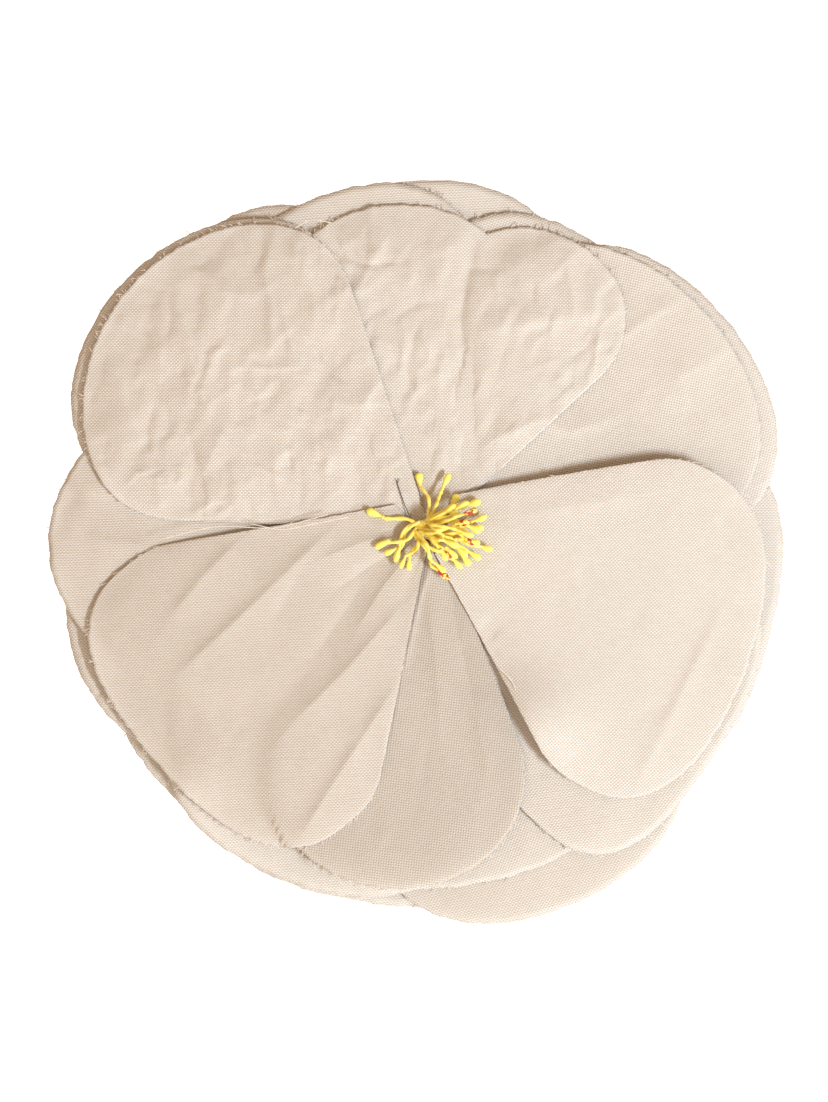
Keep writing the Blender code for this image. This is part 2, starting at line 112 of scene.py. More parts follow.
# How single petals look: points across and along, direction of the grain, how far its weft stands
# out as ribs, tone of the cloth (0 browner, 1 paler; partly its own, partly painted light and shade
# set petal by petal), how crumpled it is, and how far its two sides and its end are drawn to the
# cloth behind (clockwise side, other side, end; 1 is all the way).
LOOKS = {
    "petal_front_right": (250, 100, -4, 0.15, 0.85, 0.4, 0.7, 0.0, 0.3),
    "petal_front_lower_left": (250, 100, 3, 0.3, 0.4, 0.45, 0.45, 0.8, 0.92),
    "petal_front_upper_left": (270, 150, 0, 0.25, 0.78, 2.7, 0.7, 0.6, 0.88),
    "petal_front_bottom": (210, 90, 38, 0.2, 0.12, 0.5, 0.3, 0.2, 0.5),
    "petal_front_top": (270, 130, -2, 0.25, 0.84, 2.3, 0.6, 0.4, 0.95),
    "petal_second_left": (190, 64, 2, 0.4, 0.65, 0.9, 0.4, 0.4, 0.8),
    "petal_second_lower_right": (190, 54, 8, 0.3, 0.6, 0.4, 0.6, 0.6, 0.6),
    "petal_second_upper_right": (230, 90, 33, 0.2, 0.8, 0.8, 0.2, 0.3, 0.8),
    "petal_third_upper_right": (190, 50, 30, 0.3, 1.0, 0.4, 0.3, 0.5, 0.8),
    "petal_third_lower_right": (190, 64, 14, 0.3, 0.5, 0.4, 0.0, 0.1, 0.3),
    "petal_second_bottom": (190, 64, 24, 0.3, 0.55, 0.4, 0.2, 0.3, 0.4),
    "petal_third_top": (190, 50, 4, 0.4, 1.0, 0.5, 0.5, 0.5, 0.9),
    "petal_back_top": (190, 46, 3, 0.4, 1.0, 0.5, 0.4, 0.4, 0.5),
    "petal_back_right": (190, 46, 0, 0.3, 1.0, 0.4, 0.4, 0.4, 0.5),
    "petal_back_upper_right": (190, 46, 20, 0.3, 0.9, 0.4, 0.4, 0.4, 0.5),
}
PLAIN_LOOK = (190, 48, 6, 0.3, 0.75, 0.45, 0.5, 0.5, 0.75)
# Where an edge stands up from the cloth behind: place, how wide and how high.
LIFTS = {
    "petal_front_right": [((24, -47), 12, 4.4), ((50, 19), 20, 1.2)],
    "petal_front_lower_left": [((-61, -62), 9, 1.4)],
    "petal_second_lower_left": [((-58, -64), 9, 1.0)],
}
# Half widths of the base on its two sides, where a petal isn't drawn in tightly.
WIDE_BASES = {
    "petal_front_right": (5.0, 10.5),
    "petal_front_lower_left": (10.5, 1.5),
    "petal_front_upper_left": (1.5, 2.0),
}
# A notch in the rim: its depth, place and spread.
NOTCHES = {"petal_front_top": (7.0, -5.8, 11.0)}

# How many threads have come loose from a petal's edge, and how many at the levels that differ.
USUAL_FRAYS = 50
FRAYS = {6: 90, 5: 130, 4: 90}
# Long threads on the front petals: across, height and up.
LONG_THREADS = [
    [(-66, 0.2, -2.4), (-52, 0.5, 0.8), (-38, 0.2, 0.6), (-25, -0.2, 3.8)],
    [(-44, 0, 1.6), (-36, 0.5, 0.2), (-28, 0.4, 1.6), (-20, 0.1, 3.2)],
    [(-33, 1.0, 72.5), (-29, 1.2, 74.5), (-24, 0.8, 73.8)],
    [(16, 0.2, -33), (19, 0.5, -36), (20.5, 0.4, -39.5)],
]

# The map of the cloth laid so far.
MAP_CELL = 1.0
MAP_HALF = 104    # cells from its middle to its side
NO_CLOTH = -5.0   # height where none is laid yet
SOFTENING = 9     # times that its steps are averaged away

# Washed-in crumples: height and size of the flat patches, across and along the warp, and how many
# sharp creases a petal with a look of 1 has.
CRUMPLE_PATCHES = ((0.21, 6.5, 13), (0.15, 2.8, 5))
CRUMPLE_CREASES = 55
LONG_SIDE = 1.9     # reach of a crease on its two sides, as shares of its width
STEEP_SIDE = 0.75
CREST_POWER = 1.2   # 2 is a round crest, 1 a knife edge
CREASE_GAIN = 1.75  # every height in the next table is raised by this share

# Creases pressed into single petals: the places that one runs through, its width and its height. A
# ridge is positive.
CREASES = {
    "petal_front_upper_left": [
        ([(-37.5, 74), (-40.5, 63), (-38.6, 52), (-39.2, 42)], 2.4, 0.42),
        ([(-37.0, 56), (-33.5, 42)], 1.1, 0.2),
        ([(-26.5, 31.5), (-20, 30), (-10, 31.2)], 1.3, 0.2),
        ([(-52, 57.5), (-43, 56.5)], 1.2, 0.16),
        ([(-47.5, 26), (-43.5, 21.5)], 1.5, 0.22),
        ([(-48.3, 17), (-47.4, 5)], 1.6, 0.22),
        ([(-38.5, 21), (-37.2, 5.5)], 1.5, 0.2),
        ([(-66.5, 14), (-65.5, 5)], 1.5, 0.18),
        ([(-60, 46), (-55, 33), (-58, 22)], 2.2, 0.2),
        ([(-70, 40), (-62, 24)], 2.0, -0.16),
        ([(-30, 46), (-24, 38)], 1.5, -0.16),
        ([(-54, 30), (-46, 36)], 1.5, 0.16),
        ([(-56, 12), (-50, 24)], 1.4, 0.18),
        ([(-29, 22), (-24, 10)], 1.6, 0.16),
    ],
    "petal_front_top": [
        ([(-15, 83), (-14.5, 72), (-15, 64)], 1.3, 0.3),
        ([(-21.5, 66), (-15.5, 64), (-8, 65)], 1.1, -0.34),
        ([(-15, 64), (-18.5, 57)], 1.2, 0.28),
        ([(-15, 64), (-10, 72)], 1.2, 0.26),
        ([(-22, 74), (-17, 66)], 1.2, 0.24),
        ([(9.8, 11), (9.2, 24), (8.6, 36), (7.0, 51), (10.5, 70)], 2.0, -0.6),
        ([(7.5, 63.4), (14, 62.8)], 1.0, -0.24),
        ([(17, 66), (21, 62.5)], 1.4, 0.2),
        ([(28, 60.5), (35, 67.5)], 1.3, 0.24),
        ([(11.5, 48), (28, 50.5), (44.5, 53)], 2.4, 0.3),
        ([(-4, 48), (2, 40), (1, 30)], 2.2, 0.28),
        ([(-8, 44), (-3, 30)], 1.6, -0.2),
        ([(22, 38), (32, 42)], 2.0, 0.2),
        ([(0, 66), (2, 56)], 1.8, 0.2),
    ],
    "petal_second_upper_right": [
        ([(25, 25.5), (34, 24), (44, 27)], 1.8, 0.3),
        ([(44, 45), (52, 51), (60.5, 56)], 1.3, 0.22),
        ([(58, 36), (72, 44)], 2.5, 0.25),
        ([(28, 38), (40, 40)], 2.2, -0.2),
    ],
    "petal_front_lower_left": [
        ([(-46.5, -2.5), (-55, -11), (-63, -21)], 2.4, 0.42),
        ([(-24, 0.5), (-42, -17), (-62, -35.5)], 2.6, 0.5),
        ([(-7, -18), (-20, -33), (-34, -47)], 2.6, 0.45),
        ([(-9, -38), (-20, -55), (-33, -76)], 2.4, 0.45),
        ([(-72, -25.5), (-62, -36), (-50, -52)], 1.3, 0.2),
        ([(-31, -8), (-38, -22)], 2.0, -0.2),
        ([(-16, -12), (-28, -30)], 2.4, -0.3),
        ([(-5, -3), (-14, -8), (-24, -15)], 1.8, -0.35),
        ([(-5, -5), (-12, -14), (-18, -24)], 1.8, 0.3),
        ([(-6, 0), (-17, -3), (-27, -7)], 1.6, 0.25),
    ],
    "petal_front_right": [
        ([(69.5, -19), (59, -41), (48.5, -62)], 1.3, 0.26),
        ([(12, -22), (15.5, -26)], 1.8, -0.3),
        ([(22, 4), (48, 8)], 4.0, 0.3),
    ],
    "petal_front_bottom": [
        ([(-6.4, -33), (-4.6, -24), (-2.4, -15), (0.1, -7.8)], 1.1, 0.4),
        ([(4, -9), (6, -24), (11, -45)], 1.8, -0.22),
        ([(-1, -16), (1, -32), (2, -52)], 2.0, 0.2),
        ([(-6, -30), (-10, -52)], 2.4, 0.2),
        ([(10, -38), (14, -62)], 2.4, 0.22),
    ],
    "petal_second_left": [
        ([(-66, -4), (-84, -2)], 2.4, 0.3),
        ([(-60, -10), (-80, -14)], 2.4, -0.25),
        ([(-88, 10), (-76, 8)], 2.0, 0.2),
    ],
}

# Stamens: the low and the high head of each, as direction, reach and height. The low heads lie where
# they do in the CAD; the high ones of the left side cross over to the right.
STAMENS = [
    ((163, 16.5, 0.6), (33, 7.8, 5.2)),
    ((197, 14.3, 1.5), (354, 8.6, 6.6)),
    ((207, 12.9, 1.6), (337, 6.9, 5.8)),
    ((221, 11.8, 1.5), (304, 8.3, 5.2)),
    ((230, 12.0, 2.0), (344, 12.0, 4.6)),
    ((240, 11.2, 1.5), (288, 10.6, 4.6)),
    ((289, 12.6, 1.6), (296, 8.2, 6.0)),
    ((308, 11.7, 1.5), (312, 9.1, 4.8)),
    ((317, 12.6, 2.0), (328, 7.6, 7.4)),
    ((329, 13.6, 1.6), (341, 10.7, 5.0)),
    ((342, 15.4, 2.0), (351, 10.0, 8.8)),
    ((2, 12.5, 2.2), (12, 9.4, 6.0)),
    ((14, 13.6, 2.4), (24, 11.9, 6.6)),
    ((30, 13.6, 1.8), (37, 11.1, 4.6)),
    ((54, 10.6, 1.2), (46, 8.4, 4.4)),
    ((73, 14.4, 0.2), (358, 11.6, 4.4)),
    ((103, 14.2, -0.5), (322, 10.6, 6.2)),
]
STAINED = {(12, 1), (9, 1), (6, 0), (3, 1), (2, 1), (11, 1)}  # stamen and head (1 is high) with red
# A dipped head from its neck to its tip: share of its length, and share of its full width.
HEAD_SHAPE = ((0.12, 0.42), (0.25, 0.56), (0.4, 0.78), (0.55, 0.94), (0.7, 1.0), (0.82, 0.94),
              (0.91, 0.74), (0.97, 0.45), (1.0, 0.16))
BUNDLE_START = 144.0
INNER_RING = len(STAMENS) * (2 * THREAD_RADIUS + 0.12) / math.tau
OUTER_RING = INNER_RING + 2 * THREAD_RADIUS + 0.4
BUNDLE_RADIUS = OUTER_RING + THREAD_RADIUS + 0.1
BINDING_WALL = 0.45
PETAL_START = BUNDLE_RADIUS + BINDING_WALL + 2 * FIT_GAP
DRAWN_IN = 0.55                 # the real bundle is squeezed to this share of its CAD radius
CLOTH_START = PETAL_START * 0.62

# Rings of points over the felt disc, inside its cut edge.
FELT_RINGS = [0.2, 6, 11, 15, 18, 20.5, 22.2, 23.2]

# The clip, along X.
CLIP_TIP_X = -28.0
HINGE_X = 15.0
HINGE_Y = 1.6
TAIL_X = 30.0
JAW_HALF_WIDTH = 4.6
EAR_HALF_LENGTH = 2.2
EAR_GAP = 0.5
TOP_HALF_WIDTH = JAW_HALF_WIDTH - JAW_THICKNESS - EAR_GAP
THUMB_TAB_Y = 9.5
PIN_RADIUS = 0.8
EAR_HOLE_RADIUS = 1.05
SPRING_WIRE_RADIUS = 0.3
SPRING_RADIUS = PIN_RADIUS + 0.35 + SPRING_WIRE_RADIUS
TOP_RISE_Y = HINGE_Y + SPRING_RADIUS + SPRING_WIRE_RADIUS + 0.5 + JAW_THICKNESS / 2
SPRING_TURNS = 4
SPRING_HALF_LENGTH = TOP_HALF_WIDTH - JAW_THICKNESS / 2 - SPRING_WIRE_RADIUS - 0.65

# The studio.
FLOOR_Z = -620
WALL_Y = 1500
ROOM_HALF = 3000


# Materials

def linear(code):
    """A hex colour as linear RGBA."""
    parts = [int(code[index:index + 2], 16) / 255 for index in (1, 3, 5)]
    return (*[p / 12.92 if p <= 0.04045 else ((p + 0.055) / 1.055) ** 2.4 for p in parts], 1.0)


def add(tree, kind, links=None, stops=(), **settings):
    """Put a node in a tree, with its properties, its colour stops, its values and its links. A link
    comes from a socket, or from the first output in use of a node."""
    node = tree.nodes.new("ShaderNode" + kind)
    for key, value in settings.items():
        setattr(node, key, value)
    for index, (position, code) in enumerate(stops):
        ramp = node.color_ramp.elements
        stop = ramp[index] if index < len(ramp) else ramp.new(position)
        stop.position = position
        stop.color = linear(code)
    for name, source in (links or {}).items():
        if isinstance(source, bpy.types.Node):
            source = next(output for output in source.outputs if output.enabled)
        if isinstance(source, bpy.types.NodeSocket):
            tree.links.new(source, node.inputs[name])
        else:
            node.inputs[name].default_value = source
    return node


COLOURS = {"data_type": "RGBA"}
MULTIPLY = {"data_type": "RGBA", "blend_type": "MULTIPLY"}
DIFFERENCE = {"data_type": "RGBA", "blend_type": "DIFFERENCE"}
WHITE = linear("#FFFFFF")


def start_material(name):
    """A new material with no nodes, and its tree."""
    made = bpy.data.materials.new(name)
    made.use_nodes = True
    made.node_tree.nodes.clear()
    return made, made.node_tree


def woven_cotton():
    """Undyed plain-woven cotton, washed and pressed: matt, with crossing threads of uneven
    thickness, painted shade in the gaps between them, a faint fuzz at grazing angles, and tones that
    are partly its own and partly painted light and shade, with painted shade along the edges."""
    made, tree = start_material("woven_cotton")
    flat = add(tree, "UVMap", uv_map="cloth")
    ribs = math.pi / 10 / RIB_PITCH
    checks = math.pi / 10 / CHECK_PITCH
    weft = add(tree, "TexWave", {"Vector": flat, "Scale": ribs, "Distortion": 1.7, "Detail": 1.0,
                                 "Detail Scale": 0.6}, bands_direction="Y")
    over, under = [add(tree, "TexWave", {"Vector": flat, "Scale": checks, "Distortion": 0.8, "Detail": 1.0,
                                         "Detail Scale": 0.6}, bands_direction=way) for way in "YX"]
    crossing = add(tree, "Mix", {"Factor": 1.0, "A": over, "B": under}, **DIFFERENCE)
    rib = add(tree, "Attribute", attribute_name="rib").outputs["Fac"]
    weave = add(tree, "Mix", {"Factor": rib, "A": crossing, "B": weft}, **COLOURS)

    # Slubs: long thick and thin places along the weft and down the warp.
    slubs, warp_slubs = [
        add(tree, "TexNoise", {"Vector": add(tree, "Mapping", {"Vector": flat, "Scale": stretch}),
                               "Scale": 1.0, "Detail": 2.0})
        for stretch in ((0.3, 1.9, 1.0), (1.9, 0.3, 1.0))]
    both = add(tree, "Mix", {"Factor": 0.4, "A": slubs, "B": warp_slubs})
    blotch = add(tree, "TexNoise", {"Vector": flat, "Scale": 0.045, "Detail": 3.0})

    # The tone holds the cloth's own tone and painted light and shade: darker near the edges, and paler or darker on
    # single petals.
    tone_and_painted_light = add(tree, "Attribute", attribute_name="tone_and_painted_light").outputs["Fac"]
    shade = add(tree, "ValToRGB", {"Fac": tone_and_painted_light}, stops=((0.0, "#D1C9BD"), (1.0, "#F1EDE5"), (0.5, "#E6DFD4")))
    thread = add(tree, "Mix", {"Factor": both, "A": linear("#E6DFD6"), "B": WHITE}, **COLOURS)
    spread = add(tree, "Mix", {"Factor": 1.0, "A": shade, "B": thread}, **MULTIPLY)
    # Painted shade in the gaps between the threads, darker where the weave is low.
    painted_gap_shade = add(tree, "Mix", {"Factor": weave, "A": linear("#CCBBA8"), "B": WHITE}, **COLOURS)
    lit = add(tree, "Mix", {"Factor": 1.0, "A": spread, "B": painted_gap_shade}, **MULTIPLY)
    patches = add(tree, "MapRange", {"Value": blotch, "From Min": 0.35, "From Max": 0.65,
                                     "To Min": 0.98, "To Max": 1.01})
    colour = add(tree, "Mix", {"Factor": 1.0, "A": lit, "B": patches}, **MULTIPLY)
    relief = add(tree, "Mix", {"Factor": 0.4, "A": weave, "B": both})
    bump = add(tree, "Bump", {"Height": relief, "Strength": 0.7, "Distance": 0.25 * MM})
    shader = add(tree, "BsdfPrincipled", {
        "Base Color": colour, "Roughness": 0.92, "IOR": 1.5, "Specular IOR Level": 0.25,
        "Sheen Weight": 0.08, "Sheen Roughness": 0.5, "Normal": bump})
    add(tree, "OutputMaterial", {"Surface": shader})
    return made


def spun_thread(name, light, dark, pitch):
    """Spun thread: matt, with painted light and shade on its two plies, lighter and darker by turns as they catch
    the light, and loose fibres.
    """
    made, tree = start_material(name)
    place = add(tree, "TexCoord").outputs["Object"]
    plies = add(tree, "TexWave", {"Vector": place, "Scale": math.pi / 10 / (pitch * MM), "Distortion": 2.0,
                                  "Detail": 2.0}, bands_direction="DIAGONAL")
    fuzz = add(tree, "TexNoise", {"Vector": place, "Scale": 1 / (0.8 * MM), "Detail": 3.0})
    both = add(tree, "Mix", {"Factor": 0.5, "A": plies.outputs["Fac"], "B": fuzz})
    # Painted light and shade: the two plies lighter and darker by turns.
    colour = add(tree, "Mix", {"Factor": both, "A": linear(dark), "B": linear(light)}, **COLOURS)
    bump = add(tree, "Bump", {"Height": both, "Strength": 0.5, "Distance": 0.06 * MM})
    shader = add(tree, "BsdfPrincipled", {"Base Color": colour, "Roughness": 0.8, "IOR": 1.5, "Normal": bump})
    add(tree, "OutputMaterial", {"Surface": shader})
    return made


def waxed_stamen():
    """Cotton thread stiffened with dyed wax and dipped for its heads: a satin yellow, paler where the
    wax is thick, deeper in the bundle, and smudged with red on a few heads."""
    made, tree = start_material("waxed_stamen_thread")
    place = add(tree, "TexCoord").outputs["Object"]
    streak = add(tree, "TexNoise", {"Vector": place, "Scale": 1 / (1.6 * MM), "Detail": 3.0})
    spots = add(tree, "TexNoise", {"Vector": place, "Scale": 1 / (1.1 * MM), "Detail": 2.0})
    wax = add(tree, "Attribute", attribute_name="wax").outputs["Fac"]
    red = add(tree, "Attribute", attribute_name="red").outputs["Fac"]
    dyed = add(tree, "ValToRGB", {"Fac": streak}, stops=((0.3, "#DDA80C"), (0.68, "#FFF080")))
    pale = add(tree, "Mix", {"Factor": wax, "A": dyed, "B": linear("#FAE968")}, **COLOURS)
    smudge = add(tree, "MapRange", {"Value": spots, "From Min": 0.47, "From Max": 0.54})
    where = add(tree, "Math", {0: smudge, 1: red}, operation="MULTIPLY")
    colour = add(tree, "Mix", {"Factor": where, "A": pale, "B": linear("#B5392C")}, **COLOURS)
    bump = add(tree, "Bump", {"Height": streak, "Strength": 0.4, "Distance": 0.15 * MM})
    shader = add(tree, "BsdfPrincipled", {"Base Color": colour, "Roughness": 0.45, "IOR": 1.45, "Normal": bump})
    add(tree, "OutputMaterial", {"Surface": shader})
    return made


def wool_felt():
    """Pressed wool felt: matt and matted, with tangled fibres a few tenths of a millimetre across,
    drawn coarser here so that they show."""
    made, tree = start_material("pressed_felt")
    place = add(tree, "TexCoord").outputs["Object"]
    fibres = add(tree, "TexNoise", {"Vector": place, "Scale": 1 / (0.9 * MM), "Detail": 6.0,
                                    "Roughness": 0.7, "Distortion": 2.5})
    cloud = add(tree, "TexNoise", {"Vector": place, "Scale": 1 / (9 * MM), "Detail": 2.0})
    wool = add(tree, "ValToRGB", {"Fac": fibres}, stops=((0.3, "#BCA68C"), (0.7, "#E2D0B8")))
    patches = add(tree, "MapRange", {"Value": cloud, "To Min": 0.92, "To Max": 1.05})
    colour = add(tree, "Mix", {"Factor": 1.0, "A": wool, "B": patches}, **MULTIPLY)
    bump = add(tree, "Bump", {"Height": fibres, "Strength": 0.8, "Distance": 0.3 * MM})
    shader = add(tree, "BsdfPrincipled", {
        "Base Color": colour, "Roughness": 0.97, "IOR": 1.5, "Sheen Weight": 0.3, "Sheen Roughness": 0.6,
        "Normal": bump})
    add(tree, "OutputMaterial", {"Surface": shader})
    return made


def nickel_plated_steel(name, code, roughness, grain):
    """Stamped and nickel-plated steel: bright and a little warm, with rolling lines and fine wear
    that make its roughness uneven."""
    made, tree = start_material(name)
    place = add(tree, "TexCoord").outputs["Object"]
    stretched = add(tree, "Mapping", {"Vector": place, "Scale": (0.06, 1.0, 1.0)})
    lines = add(tree, "TexNoise", {"Vector": stretched, "Scale": 1 / (grain * MM), "Detail": 4.0})
    wear = add(tree, "TexNoise", {"Vector": place, "Scale": 1 / (4 * MM), "Detail": 4.0})
    both = add(tree, "Mix", {"Factor": 0.5, "A": lines, "B": wear})
    rough = add(tree, "MapRange", {"Value": both, "From Min": 0.3, "From Max": 0.7,
                                   "To Min": roughness - 0.06, "To Max": roughness + 0.08})
    shade = add(tree, "MapRange", {"Value": wear, "To Min": 0.94, "To Max": 1.02})
    colour = add(tree, "Mix", {"Factor": 1.0, "A": linear(code), "B": shade}, **MULTIPLY)
    bump = add(tree, "Bump", {"Height": lines, "Strength": 0.1, "Distance": 0.01 * MM})
    shader = add(tree, "BsdfPrincipled", {"Base Color": colour, "Metallic": 1.0, "Roughness": rough,
                                          "Normal": bump})
    add(tree, "OutputMaterial", {"Surface": shader})
    return made


COTTON = woven_cotton()
STAMEN = waxed_stamen()
NATURAL_THREAD = spun_thread("natural_cotton_thread", "#EFE3D2", "#C9B59C", 0.4)
DARK_THREAD = spun_thread("grey_sewing_thread", "#6E6A6B", "#3C393B", 0.4)
FELT = wool_felt()
PLATED_STEEL = nickel_plated_steel("nickel_plated_steel", "#B7B4AD", 0.26, 0.7)
SPRING_STEEL = nickel_plated_steel("spring_steel_wire", "#9D9A95", 0.26, 0.4)


# Shapes

def lattice_corners(u, v, seed):
    """Random values at the corners of the unit cell that holds each place, and the place within it."""
    lattice = np.random.default_rng(seed).uniform(-1, 1, (LATTICE_CELLS, LATTICE_CELLS))
    u = u + LATTICE_START
    v = v + LATTICE_START
    column = np.floor(u).astype(int)
    row = np.floor(v).astype(int)
    corners = [lattice[(column + i) % LATTICE_CELLS, (row + j) % LATTICE_CELLS] for j in (0, 1) for i in (0, 1)]
    return corners, u - column, v - row


def smooth_noise(x, z, cell, seed):
    """Smooth noise from -1 to 1 over a plane, with lumps about cell across."""
    (a, b, c, d), s, t = lattice_corners(x / cell, z / cell, seed)
    s = s * s * (3 - 2 * s)
    t = t * t * (3 - 2 * t)
    return (a * (1 - s) + b * s) * (1 - t) + (c * (1 - s) + d * s) * t


def facets(x, z, across, along, seed):
    """Noise from -1 to 1 made of flat patches that meet in sharp folds, as in pressed cloth."""
    u = (x + 0.5 * across * smooth_noise(x, z, 1.3 * across, seed + 1)) / across
    v = (z + 0.5 * along * smooth_noise(x, z, 1.1 * along, seed + 2)) / along
    (a, b, c, d), s, t = lattice_corners(u, v, seed)
    return np.where(s > t, a + s * (b - a) + t * (d - b), a + t * (c - a) + s * (d - c))


def crease_height(x, z, places, width, height):
    """A pressed crease through places: a sharp crest, steep on one side and long on the other, that
    dies out at both ends."""
    nearest = np.full(x.shape, 1e9)
    fade = np.zeros(x.shape)
    wide = np.full(x.shape, width)
    count = len(places) - 1
    for index in range(count):
        ax, az = places[index]
        bx, bz = places[index + 1]
        span = (bx - ax) ** 2 + (bz - az) ** 2
        t = np.clip(((x - ax) * (bx - ax) + (z - az) * (bz - az)) / span, 0, 1)
        away = np.hypot(x - ax - t * (bx - ax), z - az - t * (bz - az))
        left = (bx - ax) * (z - az) - (bz - az) * (x - ax) > 0
        position = (index + t) / count
        closer = away < nearest
        fade = np.where(closer, np.clip(np.sin(np.pi * (0.06 + 0.88 * position)) * 1.6, 0, 1), fade)
        wide = np.where(closer, np.where(left, LONG_SIDE, STEEP_SIDE) * width, wide)
        nearest = np.minimum(nearest, away)
    return height * fade * np.exp(-(nearest / wide) ** CREST_POWER)


def make_object(name, verts, faces, paint):
    """A smooth-shaded mesh object from places in millimetres."""
    mesh = bpy.data.meshes.new(name)
    mesh.from_pydata((np.asarray(verts, dtype=float) * MM).tolist(), [], [list(face) for face in faces])
    mesh.materials.append(paint)
    mesh.polygons.foreach_set("use_smooth", [True] * len(mesh.polygons))
    mesh.update()
    made = bpy.data.objects.new(name, mesh)
    bpy.context.scene.collection.objects.link(made)
    return made


def thicken(target, thickness):
    """Give a sheet its thickness, half to each side."""
    layer = target.modifiers.new("thickness", "SOLIDIFY")
    layer.thickness = thickness * MM
    layer.offset = 0.0
    return layer


def grid_faces(columns, rows):
    """The quads of a grid of points that is kept column by column."""
    corner = (np.arange(columns)[:, None] * (rows + 1) + np.arange(rows)[None, :]).ravel()
    return np.stack([corner, corner + 1, corner + rows + 2, corner + rows + 1], axis=1)


def ring_faces(rings, sides, closed=True):
    """The quads between rings of points that are kept ring by ring, and a face over each end."""
    faces = []
    for ring in range(rings - 1):
        for side in range(sides):
            a = ring * sides + side
            b = ring * sides + (side + 1) % sides
            faces.append((a, b, b + sides, a + sides))
    if closed:
        faces.append(tuple(range(sides))[::-1])
        faces.append(tuple(range((rings - 1) * sides, rings * sides)))
    return faces


def curve_through(places, steps):
    """A smooth line through places, with steps points from each to the next."""
    points = np.asarray(places, dtype=float)
    padded = np.vstack([2 * points[0] - points[1], points, 2 * points[-1] - points[-2]])
    line = []
    for index in range(1, len(padded) - 2):
        p, q, r, s = padded[index - 1:index + 3]
        for t in np.arange(steps) / steps:
            line.append(0.5 * (2 * q + (r - p) * t + (2 * p - 5 * q + 4 * r - s) * t * t
                               + (3 * q - p - 3 * r + s) * t ** 3))
    line.append(points[-1])
    return np.array(line)


def tube(places, radii, sides, flat=1.0):
    """Points and faces of a round thread or wire with closed ends. flat squeezes it sideways."""
    places = np.asarray(places, dtype=float)
    ways = np.gradient(places, axis=0)
    ways /= np.linalg.norm(ways, axis=1)[:, None] + 1e-12
    across = np.cross(ways[0], (0.31, 0.23, 0.92))
    across /= np.linalg.norm(across)
    verts = []
    for place, way, radius in zip(places, ways, radii):
        across = across - way * np.dot(across, way)
        across /= np.linalg.norm(across)
        other = np.cross(way, across)
        for side in range(sides):
            angle = math.tau * side / sides
            verts.append(place + radius * (across * math.cos(angle) * flat + other * math.sin(angle)))
    return verts, ring_faces(len(places), sides)


def join(parts):
    """Several (points, faces) as one."""
    verts = []
    faces = []
    for more_verts, more_faces in parts:
        start = len(verts)
        verts.extend(more_verts)
        faces.extend(tuple(index + start for index in face) for face in more_faces)
    return verts, faces


def vertex_values(target, name, values):
    """Keep one number for each point of a piece, for its material."""
    layer = target.data.attributes.new(name, "FLOAT", "POINT")
    layer.data.foreach_set("value", np.asarray(values, dtype=np.float32).ravel())


# Petals

covered = np.full((2 * MAP_HALF + 1, 2 * MAP_HALF + 1), NO_CLOTH)  # height of the front cloth so far


def look_up(heights, x, z):
    """The height of the cloth already laid, between the cells of a map."""
    u = np.clip(x / MAP_CELL + MAP_HALF, 0, 2 * MAP_HALF - 0.001)
    v = np.clip(z / MAP_CELL + MAP_HALF, 0, 2 * MAP_HALF - 0.001)
    i = np.floor(u).astype(int)
    j = np.floor(v).astype(int)
    s = u - i
    t = v - j
    near = heights[i, j] * (1 - s) + heights[i + 1, j] * s
    far = heights[i, j + 1] * (1 - s) + heights[i + 1, j + 1] * s
    return near * (1 - t) + far * t


def softened():
    """The map of laid cloth with its steps rounded, as a stiff cloth over it would lie. Where there
    is none within reach, it falls to a little behind the first petals."""
    known = (covered > NO_CLOTH + 1).astype(float)
    soft = covered * known
    for _ in range(SOFTENING):
        for axis in (0, 1):
            soft = (np.roll(soft, 1, axis) + 2 * soft + np.roll(soft, -1, axis)) / 4
            known = (np.roll(known, 1, axis) + 2 * known + np.roll(known, -1, axis)) / 4
    behind, faint = -0.4, 0.02
    return (soft + behind * faint) / (known + faint)


def lay_down(x, z, height):
    """Put a cloth on the map, widened by a cell so that nothing falls between two points."""
    fresh = np.full(covered.shape, NO_CLOTH)
    i = np.rint(x / MAP_CELL + MAP_HALF).astype(int).ravel()
    j = np.rint(z / MAP_CELL + MAP_HALF).astype(int).ravel()
    np.maximum.at(fresh, (i, j), height.ravel())
    for axis in (0, 1):
        fresh = np.maximum(fresh, np.maximum(np.roll(fresh, 1, axis), np.roll(fresh, -1, axis)))
    np.maximum(covered, fresh, out=covered)


def petal_height(level, radius):
    """The height of a level of petals, which stand further apart at the rim than in the middle."""
    spread = LEVEL_PITCH_RIM - LEVEL_PITCH_CENTRE
    return level * (LEVEL_PITCH_CENTRE + spread * (radius / FLOWER_RADIUS) ** 2)


def petal_outline(length, width, round_length, squareness, notch, turn):
    """The rounded end, along and across the petal, for turns from -1 to 1."""
    centre = length - round_length
    reach = math.acos(-min(0.95, round_length / centre))
    angle = turn * reach
    along = centre + round_length * np.copysign(np.abs(np.cos(angle)) ** squareness, np.cos(angle))
    across = width / 2 * np.copysign(np.abs(np.sin(angle)) ** squareness, np.sin(angle))
    if notch:
        depth, place, spread = notch
        along = along - depth * np.exp(-np.abs(across - place) / spread)
    return along, across


